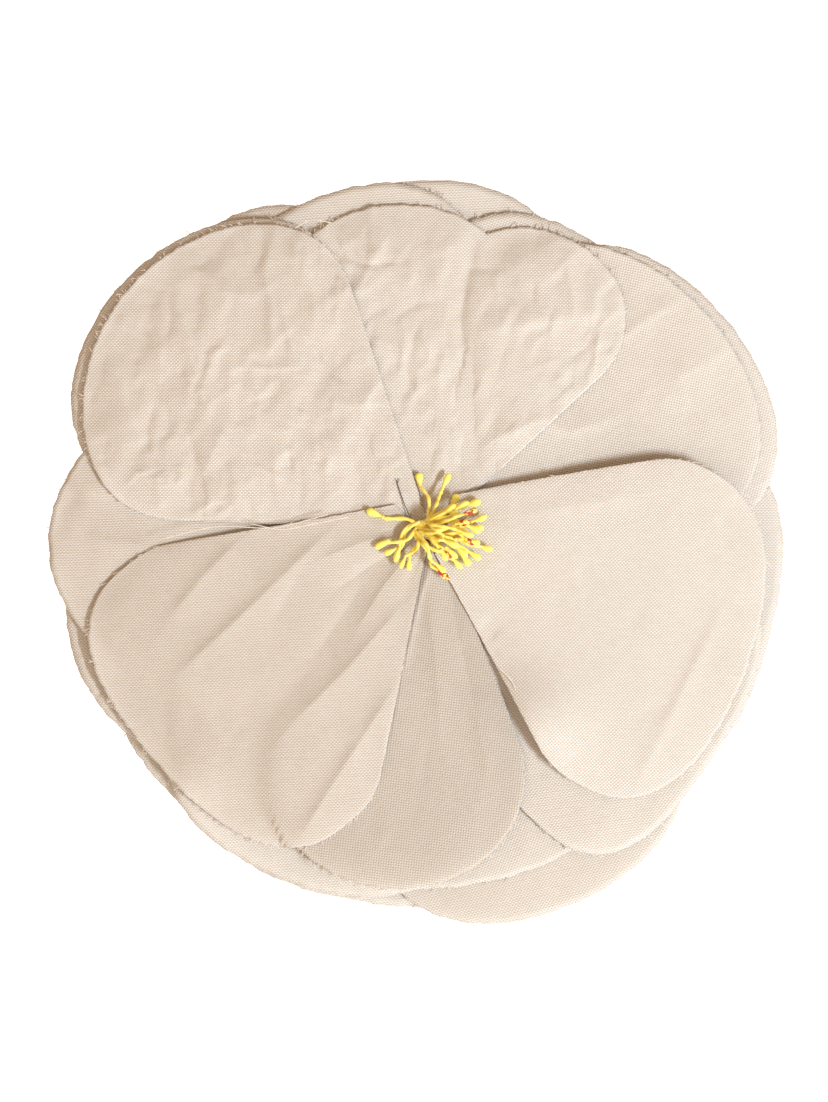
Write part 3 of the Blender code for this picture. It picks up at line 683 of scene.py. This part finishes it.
def crumpling(x, z, amount, seed):
    """Crumples pressed into the cloth when it was washed: flat patches at slightly different angles
    and many short sharp creases, mostly along the warp."""
    chance = np.random.default_rng(seed)
    patchy = 0.5 + 0.5 * smooth_noise(x, z, 15, seed + 1)
    height = 0
    for order, (high, across, along) in enumerate(CRUMPLE_PATCHES):
        height = height + amount * high * patchy * facets(x, z, across, along, seed + 2 + order)
    low_x, high_x, low_z, high_z = x.min(), x.max(), z.min(), z.max()
    for _ in range(int(CRUMPLE_CREASES * amount)):
        ax = chance.uniform(low_x, high_x)
        az = chance.uniform(low_z, high_z)
        turn = chance.normal(math.pi / 2, 0.55) if chance.random() < 0.75 else chance.uniform(0, math.pi)
        long = chance.uniform(4, 13)
        bend = chance.uniform(-1.5, 1.5)
        bx = ax + long * math.cos(turn)
        bz = az + long * math.sin(turn)
        middle = ((ax + bx) / 2 - bend * math.sin(turn), (az + bz) / 2 + bend * math.cos(turn))
        width = chance.uniform(0.8, 1.9)
        high = chance.uniform(0.12, 0.28) * (1 if chance.random() < 0.6 else -1)
        height = height + crease_height(x, z, [(ax, az), middle, (bx, bz)], width, high * math.sqrt(amount))
    return height


def loose_height(x, z, level, side, share, along, border, seed):
    """How a petal would lie on its own: pleats, slow waves and a raw edge that curls a little."""
    height = petal_height(level, np.hypot(x, z))
    # Pleats from the gathered base, which open out towards the rim.
    phase = np.random.default_rng(seed + 4).uniform(0, math.tau)
    past_base = along - CLOTH_START
    height = height + 0.28 * np.sin(side * 9.5 + phase) * np.exp(-past_base / 17) * (1 - share ** 4)
    height = height + 0.16 * np.sin(side * 5.1 + 2.0 * phase) * np.exp(-past_base / 45)
    height = height + 0.32 * smooth_noise(x, z, 26, seed + 5)
    return height + border * 0.3 * smooth_noise(x, z, 11, seed + 9)


def make_petal(index, row):
    """One cut petal, gathered at its base and laid over those behind it."""
    name, level, direction, length, width, round_length, lean, squareness = row
    columns, rows, grain, rib, tone_and_painted_light, crumple, draw_low, draw_high, draw_end = LOOKS.get(name, PLAIN_LOOK)
    base = WIDE_BASES.get(name, (PETAL_BASE_HALF, PETAL_BASE_HALF))
    seed = 10 * index
    side = np.linspace(-1, 1, columns + 1)[:, None]
    share = np.linspace(0, 1, rows + 1)[None, :]
    end_along, end_across = petal_outline(length, width, round_length, squareness, NOTCHES.get(name), side)
    base_across = side * np.where(side > 0, base[1], base[0])

    # The scissors' small steps at the end and along both sides.
    ragged = 0.3 * smooth_noise(side * 95, 0 * side, 1.0, seed + 1)
    ragged = ragged + 0.2 * smooth_noise(side * 30, 0 * side, 1.0, seed + 2)
    along = CLOTH_START + (end_along + ragged * share ** 30 - CLOTH_START) * share
    stepped = 0.16 * smooth_noise(share * 50, 0 * share, 1.0, seed + 3) * np.abs(side) ** 60 * np.sign(side)
    across = base_across + (end_across - base_across) * share + lean * (along / length) ** 2 + stepped
    turned = math.radians(direction)
    x = along * math.cos(turned) - across * math.sin(turned)
    z = along * math.sin(turned) + across * math.cos(turned)

    border = np.maximum(np.abs(side) ** 24, share ** 16)
    height = loose_height(x, z, level, side, share, along, border, seed)
    drawn = np.where(side > 0, draw_high, draw_low) * np.abs(side) ** 3
    drawn = np.maximum(drawn, draw_end * share ** 1.5)
    gap = height - look_up(softened(), x, z) - CLOTH_CLEARANCE
    height = height - drawn * np.clip(gap, 0, 6)
    # Crumples and single creases, pressed flatter towards the edge.
    pressed = crumpling(x, z, crumple, seed + 6) + 0.1 * crumple
    for places, wide, high in CREASES.get(name, []):
        pressed = pressed + crease_height(x, z, places, wide, CREASE_GAIN * high)
    height = height + pressed * (1 - 0.5 * border)
    for (lift_x, lift_z), wide, high in LIFTS.get(name, []):
        height = height + high * np.exp(-((x - lift_x) ** 2 + (z - lift_z) ** 2) / wide ** 2)
    height = np.maximum(height, look_up(covered, x, z) + CLOTH_CLEARANCE)
    lay_down(x, z, height)

    surface = np.stack([x, PETAL_BACK_Y - height, z], axis=-1)
    faces = grid_faces(columns, rows)
    petal = make_object(name + "_cloth", surface.reshape(-1, 3), faces, COTTON)
    turn = math.radians(grain)
    flat = np.stack([x * math.cos(turn) + z * math.sin(turn), z * math.cos(turn) - x * math.sin(turn)], axis=-1)
    layer = petal.data.uv_layers.new(name="cloth")
    layer.data.foreach_set("uv", flat.reshape(-1, 2)[faces.ravel()].astype(np.float32).ravel())
    # Painted shade: darker in a band towards the edge, where the cloth turns under. Pale in the fray of the cut.
    frayed = np.maximum(np.abs(side) ** 40, share ** 32)
    tones_and_painted_light = tone_and_painted_light - 0.22 * border * (0.6 + 0.4 * smooth_noise(x, z, 6, seed + 2)) + 0.5 * frayed
    vertex_values(petal, "tone_and_painted_light", np.clip(tones_and_painted_light, 0, 1))
    vertex_values(petal, "rib", np.full(tones_and_painted_light.shape, rib))
    thicken(petal, CLOTH)

    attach(petal, "flower")
    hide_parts(name)
    return surface, level


def frayed_end(surface, chance):
    """A thread that has come out of the raw edge of a petal, at its rim or at one of its sides."""
    columns, rows = surface.shape[0] - 1, surface.shape[1] - 1
    if chance.random() < 0.75:
        column, row = int(chance.integers(2, columns - 2)), rows
        inner = surface[column, row - 3]
        beside = surface[column + 2, row] - surface[column - 2, row]
    else:
        column, row = int(chance.choice([0, columns])), int(chance.integers(rows // 3, rows))
        inner = surface[3 if column == 0 else columns - 3, row]
        beside = surface[column, row] - surface[column, row - 2]
    root = surface[column, row]
    out = root - inner
    out /= np.linalg.norm(out)
    beside /= np.linalg.norm(beside)
    long = chance.uniform(0.5, 1.7) * (2.0 if chance.random() < 0.06 else 1.0)
    lean = chance.uniform(-1.6, 1.6)
    lift = chance.uniform(-0.1, 0.35)
    tip = root + out * long * 0.75 + beside * long * lean * 0.5 + np.array([0, -lift, 0])
    bend = (root + tip) / 2 + out * long * 0.15 + np.array([0, -lift, 0])
    line = curve_through([root - out * 0.6, root, bend, tip], 3)
    return tube(line, np.linspace(0.11, 0.06, len(line)), 4)


def make_loose_threads(laid):
    """Threads that have come out of the raw edges, and a few long ones lying over the petals."""
    chance = np.random.default_rng(77)
    parts = [frayed_end(surface, chance) for surface, level in laid for _ in range(FRAYS.get(level, USUAL_FRAYS))]
    front = PETAL_BACK_Y - petal_height(6, 50) - 0.9
    for places in LONG_THREADS:
        line = curve_through([(px, front - up, pz) for px, up, pz in places], 8)
        parts.append(tube(line, np.full(len(line), 0.13), 5))
    verts, faces = join(parts)
    made = make_object("loose_edge_threads", verts, faces, NATURAL_THREAD)
    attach(made, "flower")


# Stamens and threads

def strand(ring_radius, slot_angle, head, chance):
    """One half of a folded stamen, from the bundle to its head: its line, its width at each point
    and how thick the wax is there."""
    direction, reach, height = head
    slot = np.array([math.cos(slot_angle), 0, math.sin(slot_angle)]) * ring_radius * DRAWN_IN
    way = np.array([math.cos(math.radians(direction)), 0, math.sin(math.radians(direction))])
    foot = slot + np.array([0, BINDING_BACK_Y - 1.2, 0])
    mouth = slot + np.array([0, BINDING_FRONT_Y - 0.4, 0])
    tip = way * reach + np.array([0, PETAL_FRONT_Y - height, 0])
    crown = np.array([-2.8, 0, 0.9]) + chance.uniform(-1, 1, 3) * (2.0, 0, 1.3) + way * 0.6
    crown[1] = BINDING_FRONT_Y - 0.7 - chance.uniform(0, 1.2) - 0.1 * height
    long = 3.4 + chance.uniform(-0.4, 1.0)
    over = crown + (tip - crown) * 0.32 + np.array([0, -0.3 * height - 0.3, 0])
    over = over + chance.uniform(-1.5, 1.5, 3) * (1, 0.5, 1)
    near = crown + (tip - crown) * 0.62 + np.array([0, -0.25 * height, 0])
    near = near + chance.uniform(-1.2, 1.2, 3) * (1, 0.4, 1)
    back = near - tip
    head_start = tip + back / np.linalg.norm(back) * long
    line = curve_through([foot, mouth, crown, over, near, head_start], 7)
    widths = list(0.46 + 0.07 * np.sin(np.arange(len(line)) * 1.3 + chance.uniform(0, 6)))
    wax = [chance.uniform(0.0, 0.5)] * len(line)
    fat = chance.uniform(0.74, 1.0)
    line = np.vstack([line] + [line[-1] + (tip - line[-1]) * share for share, _ in HEAD_SHAPE])
    widths += [fat * width for _, width in HEAD_SHAPE]
    wax += [min(1.0, 0.3 + share) for share, _ in HEAD_SHAPE]
    return line, widths, wax


def make_stamens():
    """Folded waxed threads with a dipped head at each end, bound in the middle of the flower."""
    sides = 10
    for index, (low_head, high_head) in enumerate(STAMENS):
        chance = np.random.default_rng(300 + index)
        slot_angle = math.radians(BUNDLE_START) + math.tau * index / len(STAMENS)
        low, low_widths, low_wax = strand(OUTER_RING, slot_angle, low_head, chance)
        high, high_widths, high_wax = strand(INNER_RING, slot_angle, high_head, chance)
        fold = (low[0] + high[0]) / 2 + np.array([0, 0.8, 0])
        line = np.vstack([low[::-1], fold, high])
        verts, faces = tube(line, low_widths[::-1] + [0.36] + high_widths, sides, 0.9)
        verts = np.array(verts)
        rough = smooth_noise(verts[:, 0] + index, verts[:, 2] + verts[:, 1], 0.8, 5)
        centre = np.repeat(line, sides, axis=0)
        verts = centre + (verts - centre) * (1 + 0.1 * rough)[:, None]
        name = f"stamen_{index + 1:02d}"
        made = make_object(name + "_thread", verts, faces, STAMEN)
        waxes = (low_wax[::-1], high_wax)
        low_red, high_red = [[float((index, end) in STAINED and thick > 0.5) for thick in wax]
                             for end, wax in enumerate(waxes)]
        vertex_values(made, "wax", np.repeat(waxes[0] + [0.1] + waxes[1], sides))
        vertex_values(made, "red", np.repeat(low_red + [0.0] + high_red, sides))
        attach(made, "flower")
        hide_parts(name)


def make_binding():
    """Thread wound tightly round the stamens in the middle of the flower."""
    turns = 15
    angle = np.linspace(0, math.tau * turns, 26 * turns)
    radius = BUNDLE_RADIUS * DRAWN_IN + 0.4 + 0.04 * np.sin(angle * 0.37)
    y = BINDING_BACK_Y + (BINDING_FRONT_Y - BINDING_BACK_Y) * angle / angle[-1]
    line = np.stack([radius * np.cos(angle), y, radius * np.sin(angle)], axis=1)
    verts, faces = tube(line, np.full(len(line), 0.25), 7)
    made = make_object("stamen_binding_winding", verts, faces, NATURAL_THREAD)
    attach(made, "flower")
    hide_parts("stamen_binding")


def make_gathering_thread():
    """The drawn-up double thread behind the petals, twisted from two plies and tied off."""
    radius = BUNDLE_RADIUS + BINDING_WALL + FIT_GAP + GATHER_WIRE / 2
    parts = []
    angle = np.linspace(0, math.tau, 180)
    for ply in (0, math.pi):
        twist = angle * 26 + ply
        ring = radius + 0.15 * np.cos(twist)
        line = np.stack([ring * np.cos(angle), GATHER_Y + 0.14 * np.sin(twist), ring * np.sin(angle)], axis=1)
        parts.append(tube(line, np.full(len(line), 0.15), 6))
    knot = np.array([radius, GATHER_Y, 0])
    t = np.linspace(0, math.tau, 40)
    loop = knot + np.stack([0.32 * np.sin(t), 0.1 * np.cos(2 * t), 0.4 * np.sin(2 * t)], axis=1)
    parts.append(tube(loop, np.full(40, 0.14), 6))
    for lean in (-1, 1):
        tail = curve_through([knot, knot + (1.2, 0.05, lean * 0.8), knot + (3.6, 0.1, lean * 2.1)], 6)
        parts.append(tube(tail, np.full(len(tail), 0.13), 6))
    verts, faces = join(parts)
    made = make_object("gathering_thread_twist", verts, faces, NATURAL_THREAD)
    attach(made, "flower")
    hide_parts("gathering_thread")


def make_sewing_thread():
    """The loose end of grey sewing thread beside the stamens, with its fibres parting at the end."""
    places = [(-8.4, 0.1, 11.4), (-8.0, 0.4, 10.2), (-7.2, 0.5, 7.8), (-6.3, 0.7, 5.4), (-4.9, 1.0, 2.6)]
    line = curve_through([(px, PETAL_FRONT_Y - up, pz) for px, up, pz in places], 8)
    parts = [tube(line, np.full(len(line), 0.12), 7)]
    for lean in (-0.25, 0.1, 0.35):
        hair = curve_through([line[1], line[0] + (lean, 0, 0.5), line[0] + (lean * 2.2, -0.1, 1.1)], 4)
        parts.append(tube(hair, np.linspace(0.07, 0.04, len(hair)), 5))
    verts, faces = join(parts)
    made = make_object("sewing_thread_end", verts, faces, DARK_THREAD)
    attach(made, "flower")
    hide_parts("sewing_thread")


# Backing and clip

def make_felt_disc():
    """The cut felt round behind the petals: a soft edge, a little uneven, with pressed fibres."""
    sides = 140
    turn = np.linspace(0, math.tau, sides, endpoint=False)
    cut = FELT_RADIUS - 0.35 + 0.22 * smooth_noise(turn * 20, turn * 0, 1.0, 51)
    half = FELT_THICKNESS / 2
    middle = (FELT_BACK_Y + FELT_FRONT_Y) / 2
    profile = [(r, half) for r in FELT_RINGS] + [(None, 0.62 * half), (None, 0.0), (None, -0.62 * half)]
    profile += [(r, -half) for r in FELT_RINGS[::-1]]
    verts = []
    for r, out in profile:
        reach = cut + (0.3 if out == 0.0 else 0.12) if r is None else np.full(sides, r)
        x = reach * np.cos(turn)
        z = reach * np.sin(turn)
        lumps = 0.1 * smooth_noise(x, z, 2.6, 52 if out > 0 else 53) * (r is not None)
        verts.append(np.stack([x, middle + out * (0.9 + lumps), z], axis=1))
    made = make_object("felt_backing_disc", np.concatenate(verts), ring_faces(len(profile), sides), FELT)
    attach(made, "flower")
    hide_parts("felt_backing")


def make_felt_cover():
    """The felt strip glued over the fixed jaw: soft shoulders, and flanges pressed to the backing."""
    raised = JAW_HALF_WIDTH + 0.4
    flange = raised + COVER_THICKNESS + 0.2
    edge = flange + 3.5
    flange_y = FELT_BACK_Y + FIT_GAP + COVER_THICKNESS / 2
    start = CLIP_TIP_X + 8.0
    end = HINGE_X - EAR_HALF_LENGTH - 4.0
    profile = [(edge, flange_y), (edge - 1.2, flange_y), (flange + 0.4, flange_y), (flange - 0.3, flange_y + 0.25),
               (raised + 0.3, COVER_MIDDLE_Y - 0.2), (raised - 0.3, COVER_MIDDLE_Y), (raised - 2.4, COVER_MIDDLE_Y),
               (0, COVER_MIDDLE_Y)]
    profile += [(-pz, py) for pz, py in profile[-2::-1]]
    line = curve_through([(0, py, pz) for pz, py in profile], 4)
    columns = 60
    x = np.linspace(start, end, columns + 1)[:, None] + 0 * line[None, :, 2]
    z = 0 * x + line[None, :, 2]
    x = x + 0.16 * smooth_noise(z, z * 0, 1.6, 61) * np.where(x < (start + end) / 2, 1, -1)
    y = line[None, :, 1] + 0.06 * smooth_noise(x, z, 2.2, 62)
    verts = np.stack([x, y, z], axis=-1).reshape(-1, 3)
    made = make_object("felt_cover_strip", verts, grid_faces(columns, len(line) - 1), FELT)
    thicken(made, COVER_THICKNESS - 0.1)
    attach(made, "flower")
    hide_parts("felt_clip_cover")


def make_jaw(name, node, body, stations, ear_y, ribs=None):
    """A stamped jaw: a strip with rounded ends through stations of place, height and half width, with
    folded ears pierced for the pin, and pressed ribs where a thumb rests."""
    xs, heights, halves = np.array(stations).T
    fine_x = np.unique(np.concatenate([np.linspace(xs[0], xs[-1], 96), xs]))
    height = np.interp(fine_x, xs, heights)
    half = np.interp(fine_x, xs, halves)
    tip = np.clip((fine_x - xs[0]) / 2.2, 0, 1)
    half = half * np.sqrt(np.clip(1 - (1 - tip) ** 2, 0.06, 1))
    tail = np.clip((xs[-1] - fine_x) / 2.6, 0, 1)
    half = half * np.sqrt(np.clip(1 - (1 - tail) ** 2, 0.1, 1))
    columns = len(fine_x) - 1
    rows = 16
    across = np.linspace(-1, 1, rows + 1)[None, :]
    z = half[:, None] * across
    x = fine_x[:, None] + 0 * z
    y = height[:, None] + 0 * z
    if ribs:
        first, last = ribs
        inside = ((x > first) & (x < last)) * (1 - across ** 8)
        y = y + 0.22 * np.abs(np.sin((x - first) * math.pi / 1.5)) * inside
    verts = list(np.stack([x, y, z], axis=-1).reshape(-1, 3))
    faces = [tuple(face) for face in grid_faces(columns, rows)]

    # Ears, folded down from both sides.
    ear = [i for i, value in enumerate(fine_x) if abs(value - HINGE_X) <= EAR_HALF_LENGTH + 0.01]
    ear_z = z[ear[0], rows]
    steps = 9
    for border in (0, rows):
        start = len(verts)
        for i in ear:
            top = y[i, border]
            reach = 1 - 0.25 * ((fine_x[i] - HINGE_X) / EAR_HALF_LENGTH) ** 4
            for step in range(1, steps + 1):
                verts.append(np.array([fine_x[i], top + (ear_y - top) * step / steps * reach,
                                       z[ear[0], border]]))
        for k in range(len(ear) - 1):
            here = [ear[k] * (rows + 1) + border] + [start + k * steps + s for s in range(steps)]
            after = [ear[k + 1] * (rows + 1) + border] + [start + (k + 1) * steps + s for s in range(steps)]
            faces += [(here[s], here[s + 1], after[s + 1], after[s]) for s in range(steps)]

    def pierced(face):
        middle = np.mean([verts[i] for i in face], axis=0)
        from_pin = math.hypot(middle[0] - HINGE_X, middle[1] - HINGE_Y)
        return abs(abs(middle[2]) - ear_z) < 0.05 and from_pin < EAR_HOLE_RADIUS

    made = make_object(name, verts, [face for face in faces if not pierced(face)], PLATED_STEEL)
    thicken(made, JAW_THICKNESS - 0.08).use_even_offset = True
    edges = made.modifiers.new("edges", "BEVEL")
    edges.width = 0.12 * MM
    edges.segments = 2
    edges.limit_method = "ANGLE"
    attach(made, body)
    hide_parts(node)


def make_jaws():
    """The fixed jaw under the felt strip and the hinged jaw with its raised, ribbed thumb tab."""
    ear_start = HINGE_X - EAR_HALF_LENGTH
    ear_end = HINGE_X + EAR_HALF_LENGTH
    make_jaw("clip_fixed_jaw_plate", "clip_fixed_jaw", "flower", [
        (CLIP_TIP_X, JAW_MIDDLE_Y, 2.8),
        (ear_start - 3.0, JAW_MIDDLE_Y, JAW_HALF_WIDTH),
        (ear_start, JAW_MIDDLE_Y, JAW_HALF_WIDTH),
        (ear_end, JAW_MIDDLE_Y, JAW_HALF_WIDTH),
        (ear_end + 3.0, JAW_MIDDLE_Y, JAW_HALF_WIDTH),
        (TAIL_X, JAW_MIDDLE_Y, JAW_HALF_WIDTH - 0.8),
    ], HINGE_Y + 2.0)
    grip_y = (GRIP_GAP + JAW_THICKNESS) / 2
    make_jaw("clip_hinged_jaw_plate", "clip_hinged_jaw", "hinged_jaw", [
        (CLIP_TIP_X, grip_y, 2.4),
        (CLIP_TIP_X + 22.0, grip_y, TOP_HALF_WIDTH - 0.4),
        (ear_start - 4.0, TOP_RISE_Y - 1.2, TOP_HALF_WIDTH),
        (ear_start, TOP_RISE_Y, TOP_HALF_WIDTH),
        (ear_end, TOP_RISE_Y, TOP_HALF_WIDTH),
        (TAIL_X, THUMB_TAB_Y, TOP_HALF_WIDTH + 0.8),
    ], HINGE_Y - 1.4, ribs=(20.4, 28.0))


def make_pin():
    """The rivet pin of the hinge, with a domed head at each end."""
    neck = JAW_HALF_WIDTH + JAW_THICKNESS / 2 + FIT_GAP
    half = neck + 0.5
    head = PIN_RADIUS + 0.6
    profile = [(0.01, half), (head * 0.5, half - 0.02), (head * 0.82, half - 0.1), (head, half - 0.27),
               (head, neck + 0.05), (head - 0.06, neck), (PIN_RADIUS, neck), (PIN_RADIUS, neck - 0.2),
               (PIN_RADIUS, 0.0)]
    profile += [(r, -along) for r, along in profile[-2::-1]]
    sides = 40
    turn = np.linspace(0, math.tau, sides, endpoint=False)
    verts = np.concatenate([np.stack([HINGE_X + r * np.cos(turn), HINGE_Y + r * np.sin(turn),
                                      np.full(sides, along)], axis=1) for r, along in profile])
    pin = make_object("clip_rivet_pin", verts, ring_faces(len(profile), sides, closed=False), PLATED_STEEL)
    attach(pin, "flower")
    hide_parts("clip_hinge_pin")


def make_spring():
    """The torsion spring: a coil round the pin, one leg on the fixed jaw and one under the thumb tab."""
    slope = (THUMB_TAB_Y - TOP_RISE_Y) / (TAIL_X - HINGE_X - EAR_HALF_LENGTH)
    leg_x = 10.0
    lower_leg_y = JAW_MIDDLE_Y + JAW_THICKNESS / 2 + FIT_GAP + SPRING_WIRE_RADIUS
    upper_leg_y = TOP_RISE_Y + slope * (leg_x - EAR_HALF_LENGTH) - JAW_THICKNESS / 2 - 2 * FIT_GAP
    places = [np.array([leg_x * k / 6, lower_leg_y - HINGE_Y, -SPRING_HALF_LENGTH]) for k in (6, 5, 4, 3, 2)]
    places[-1][1] = places[-1][1] * 0.5 - 0.5 * SPRING_RADIUS
    steps = 30 * SPRING_TURNS + 15
    for step in range(steps + 1):
        angle = -math.pi / 2 - math.tau * step / 30
        along = -SPRING_HALF_LENGTH + 2 * SPRING_HALF_LENGTH * step / steps
        places.append(np.array([SPRING_RADIUS * math.cos(angle), SPRING_RADIUS * math.sin(angle), along]))
    places.append(np.array([EAR_HALF_LENGTH + 0.8, SPRING_RADIUS + 0.15, SPRING_HALF_LENGTH]))
    places.append(np.array([leg_x, upper_leg_y - HINGE_Y - SPRING_WIRE_RADIUS, SPRING_HALF_LENGTH]))
    line = np.array(places) + (HINGE_X, HINGE_Y, 0)
    verts, faces = tube(line, np.full(len(line), SPRING_WIRE_RADIUS), 12)
    spring = make_object("clip_torsion_spring", verts, faces, SPRING_STEEL)
    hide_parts("clip_spring")
    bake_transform(spring)


# Stage, light and camera

def make_room():
    """A pale floor well below and a white wall well behind."""
    paper, tree = start_material("white_studio_paper")
    place = add(tree, "TexCoord").outputs["Object"]
    grain = add(tree, "TexNoise", {"Vector": place, "Scale": 400.0, "Detail": 2.0})
    colour = add(tree, "Mix", {"Factor": grain, "A": linear("#FAFAFA"), "B": WHITE}, **COLOURS)
    shader = add(tree, "BsdfPrincipled", {"Base Color": colour, "Roughness": 0.9, "Emission Color": WHITE,
                                          "Emission Strength": 0.45})
    add(tree, "OutputMaterial", {"Surface": shader})
    left, right, near, top = -ROOM_HALF, ROOM_HALF, -ROOM_HALF, ROOM_HALF
    corners = [(left, near, FLOOR_Z), (right, near, FLOOR_Z), (right, WALL_Y, FLOOR_Z), (left, WALL_Y, FLOOR_Z)]
    floor = make_object("studio_floor", corners, [(0, 1, 2, 3)], paper)
    corners = [(left, WALL_Y, FLOOR_Z), (right, WALL_Y, FLOOR_Z), (right, WALL_Y, top), (left, WALL_Y, top)]
    wall = make_object("studio_wall", corners, [(0, 1, 2, 3)], paper)


def make_light():
    """A key light low from the right, and a soft warm fill that is even in front and has brighter and
    dimmer panels behind for the metal to mirror."""
    world = bpy.data.worlds.new("studio_fill")
    world.use_nodes = True
    sky = world.node_tree
    around = add(sky, "TexCoord").outputs["Generated"]
    sides = add(sky, "SeparateXYZ", {0: around})
    panels = add(sky, "TexNoise", {"Vector": around, "Scale": 1.6, "Detail": 0.0})
    dim = add(sky, "MapRange", {"Value": panels, "From Min": 0.38, "From Max": 0.62,
                                "To Min": 0.3, "To Max": 1.25})
    behind = add(sky, "MapRange", {"Value": sides.outputs["Y"], "From Min": 0.0, "From Max": 0.35})
    strength = add(sky, "Mix", {"Factor": behind, "A": 0.645, "B": dim})
    fill = sky.nodes["Background"].inputs
    fill["Color"].default_value = linear("#FFE3C8")
    sky.links.new(strength.outputs["Result"], fill["Strength"])
    bpy.context.scene.world = world

    key = bpy.data.lights.new("key_light", "AREA")
    key.shape = "ELLIPSE"
    key.size = 0.07
    key.size_y = 0.27
    key.energy = 7.95
    key.color = linear("#D5E9FF")[:3]
    key_object = bpy.data.objects.new("key_light", key)
    bpy.context.scene.collection.objects.link(key_object)
    key_object.visible_camera = False
    towards = Vector((0.557, -0.766, -0.321))
    key_object.location = towards * 0.8
    key_object.rotation_euler = towards.to_track_quat("Z", "Y").to_euler()


def make_camera():
    """A camera straight in front of the flower."""
    lens = bpy.data.cameras.new("camera")
    lens.sensor_fit = "VERTICAL"
    lens.sensor_height = 36.0
    lens.lens = 100.0
    lens.clip_start = 0.01
    camera = bpy.data.objects.new("camera", lens)
    camera.location = (-4.32 * MM, -749.7 * MM, -5.04 * MM)
    camera.rotation_euler = (math.radians(90), 0, 0)
    bpy.context.scene.collection.objects.link(camera)
    bpy.context.scene.camera = camera
    bpy.context.scene.view_settings.view_transform = "Standard"


back_to_front = sorted(range(len(PETALS)), key=lambda index: PETALS[index][1])
make_loose_threads([make_petal(index, PETALS[index]) for index in back_to_front])
make_stamens()
make_binding()
make_gathering_thread()
make_sewing_thread()
make_felt_disc()
make_felt_cover()
make_jaws()
make_pin()
make_spring()
make_room()
make_light()
make_camera()
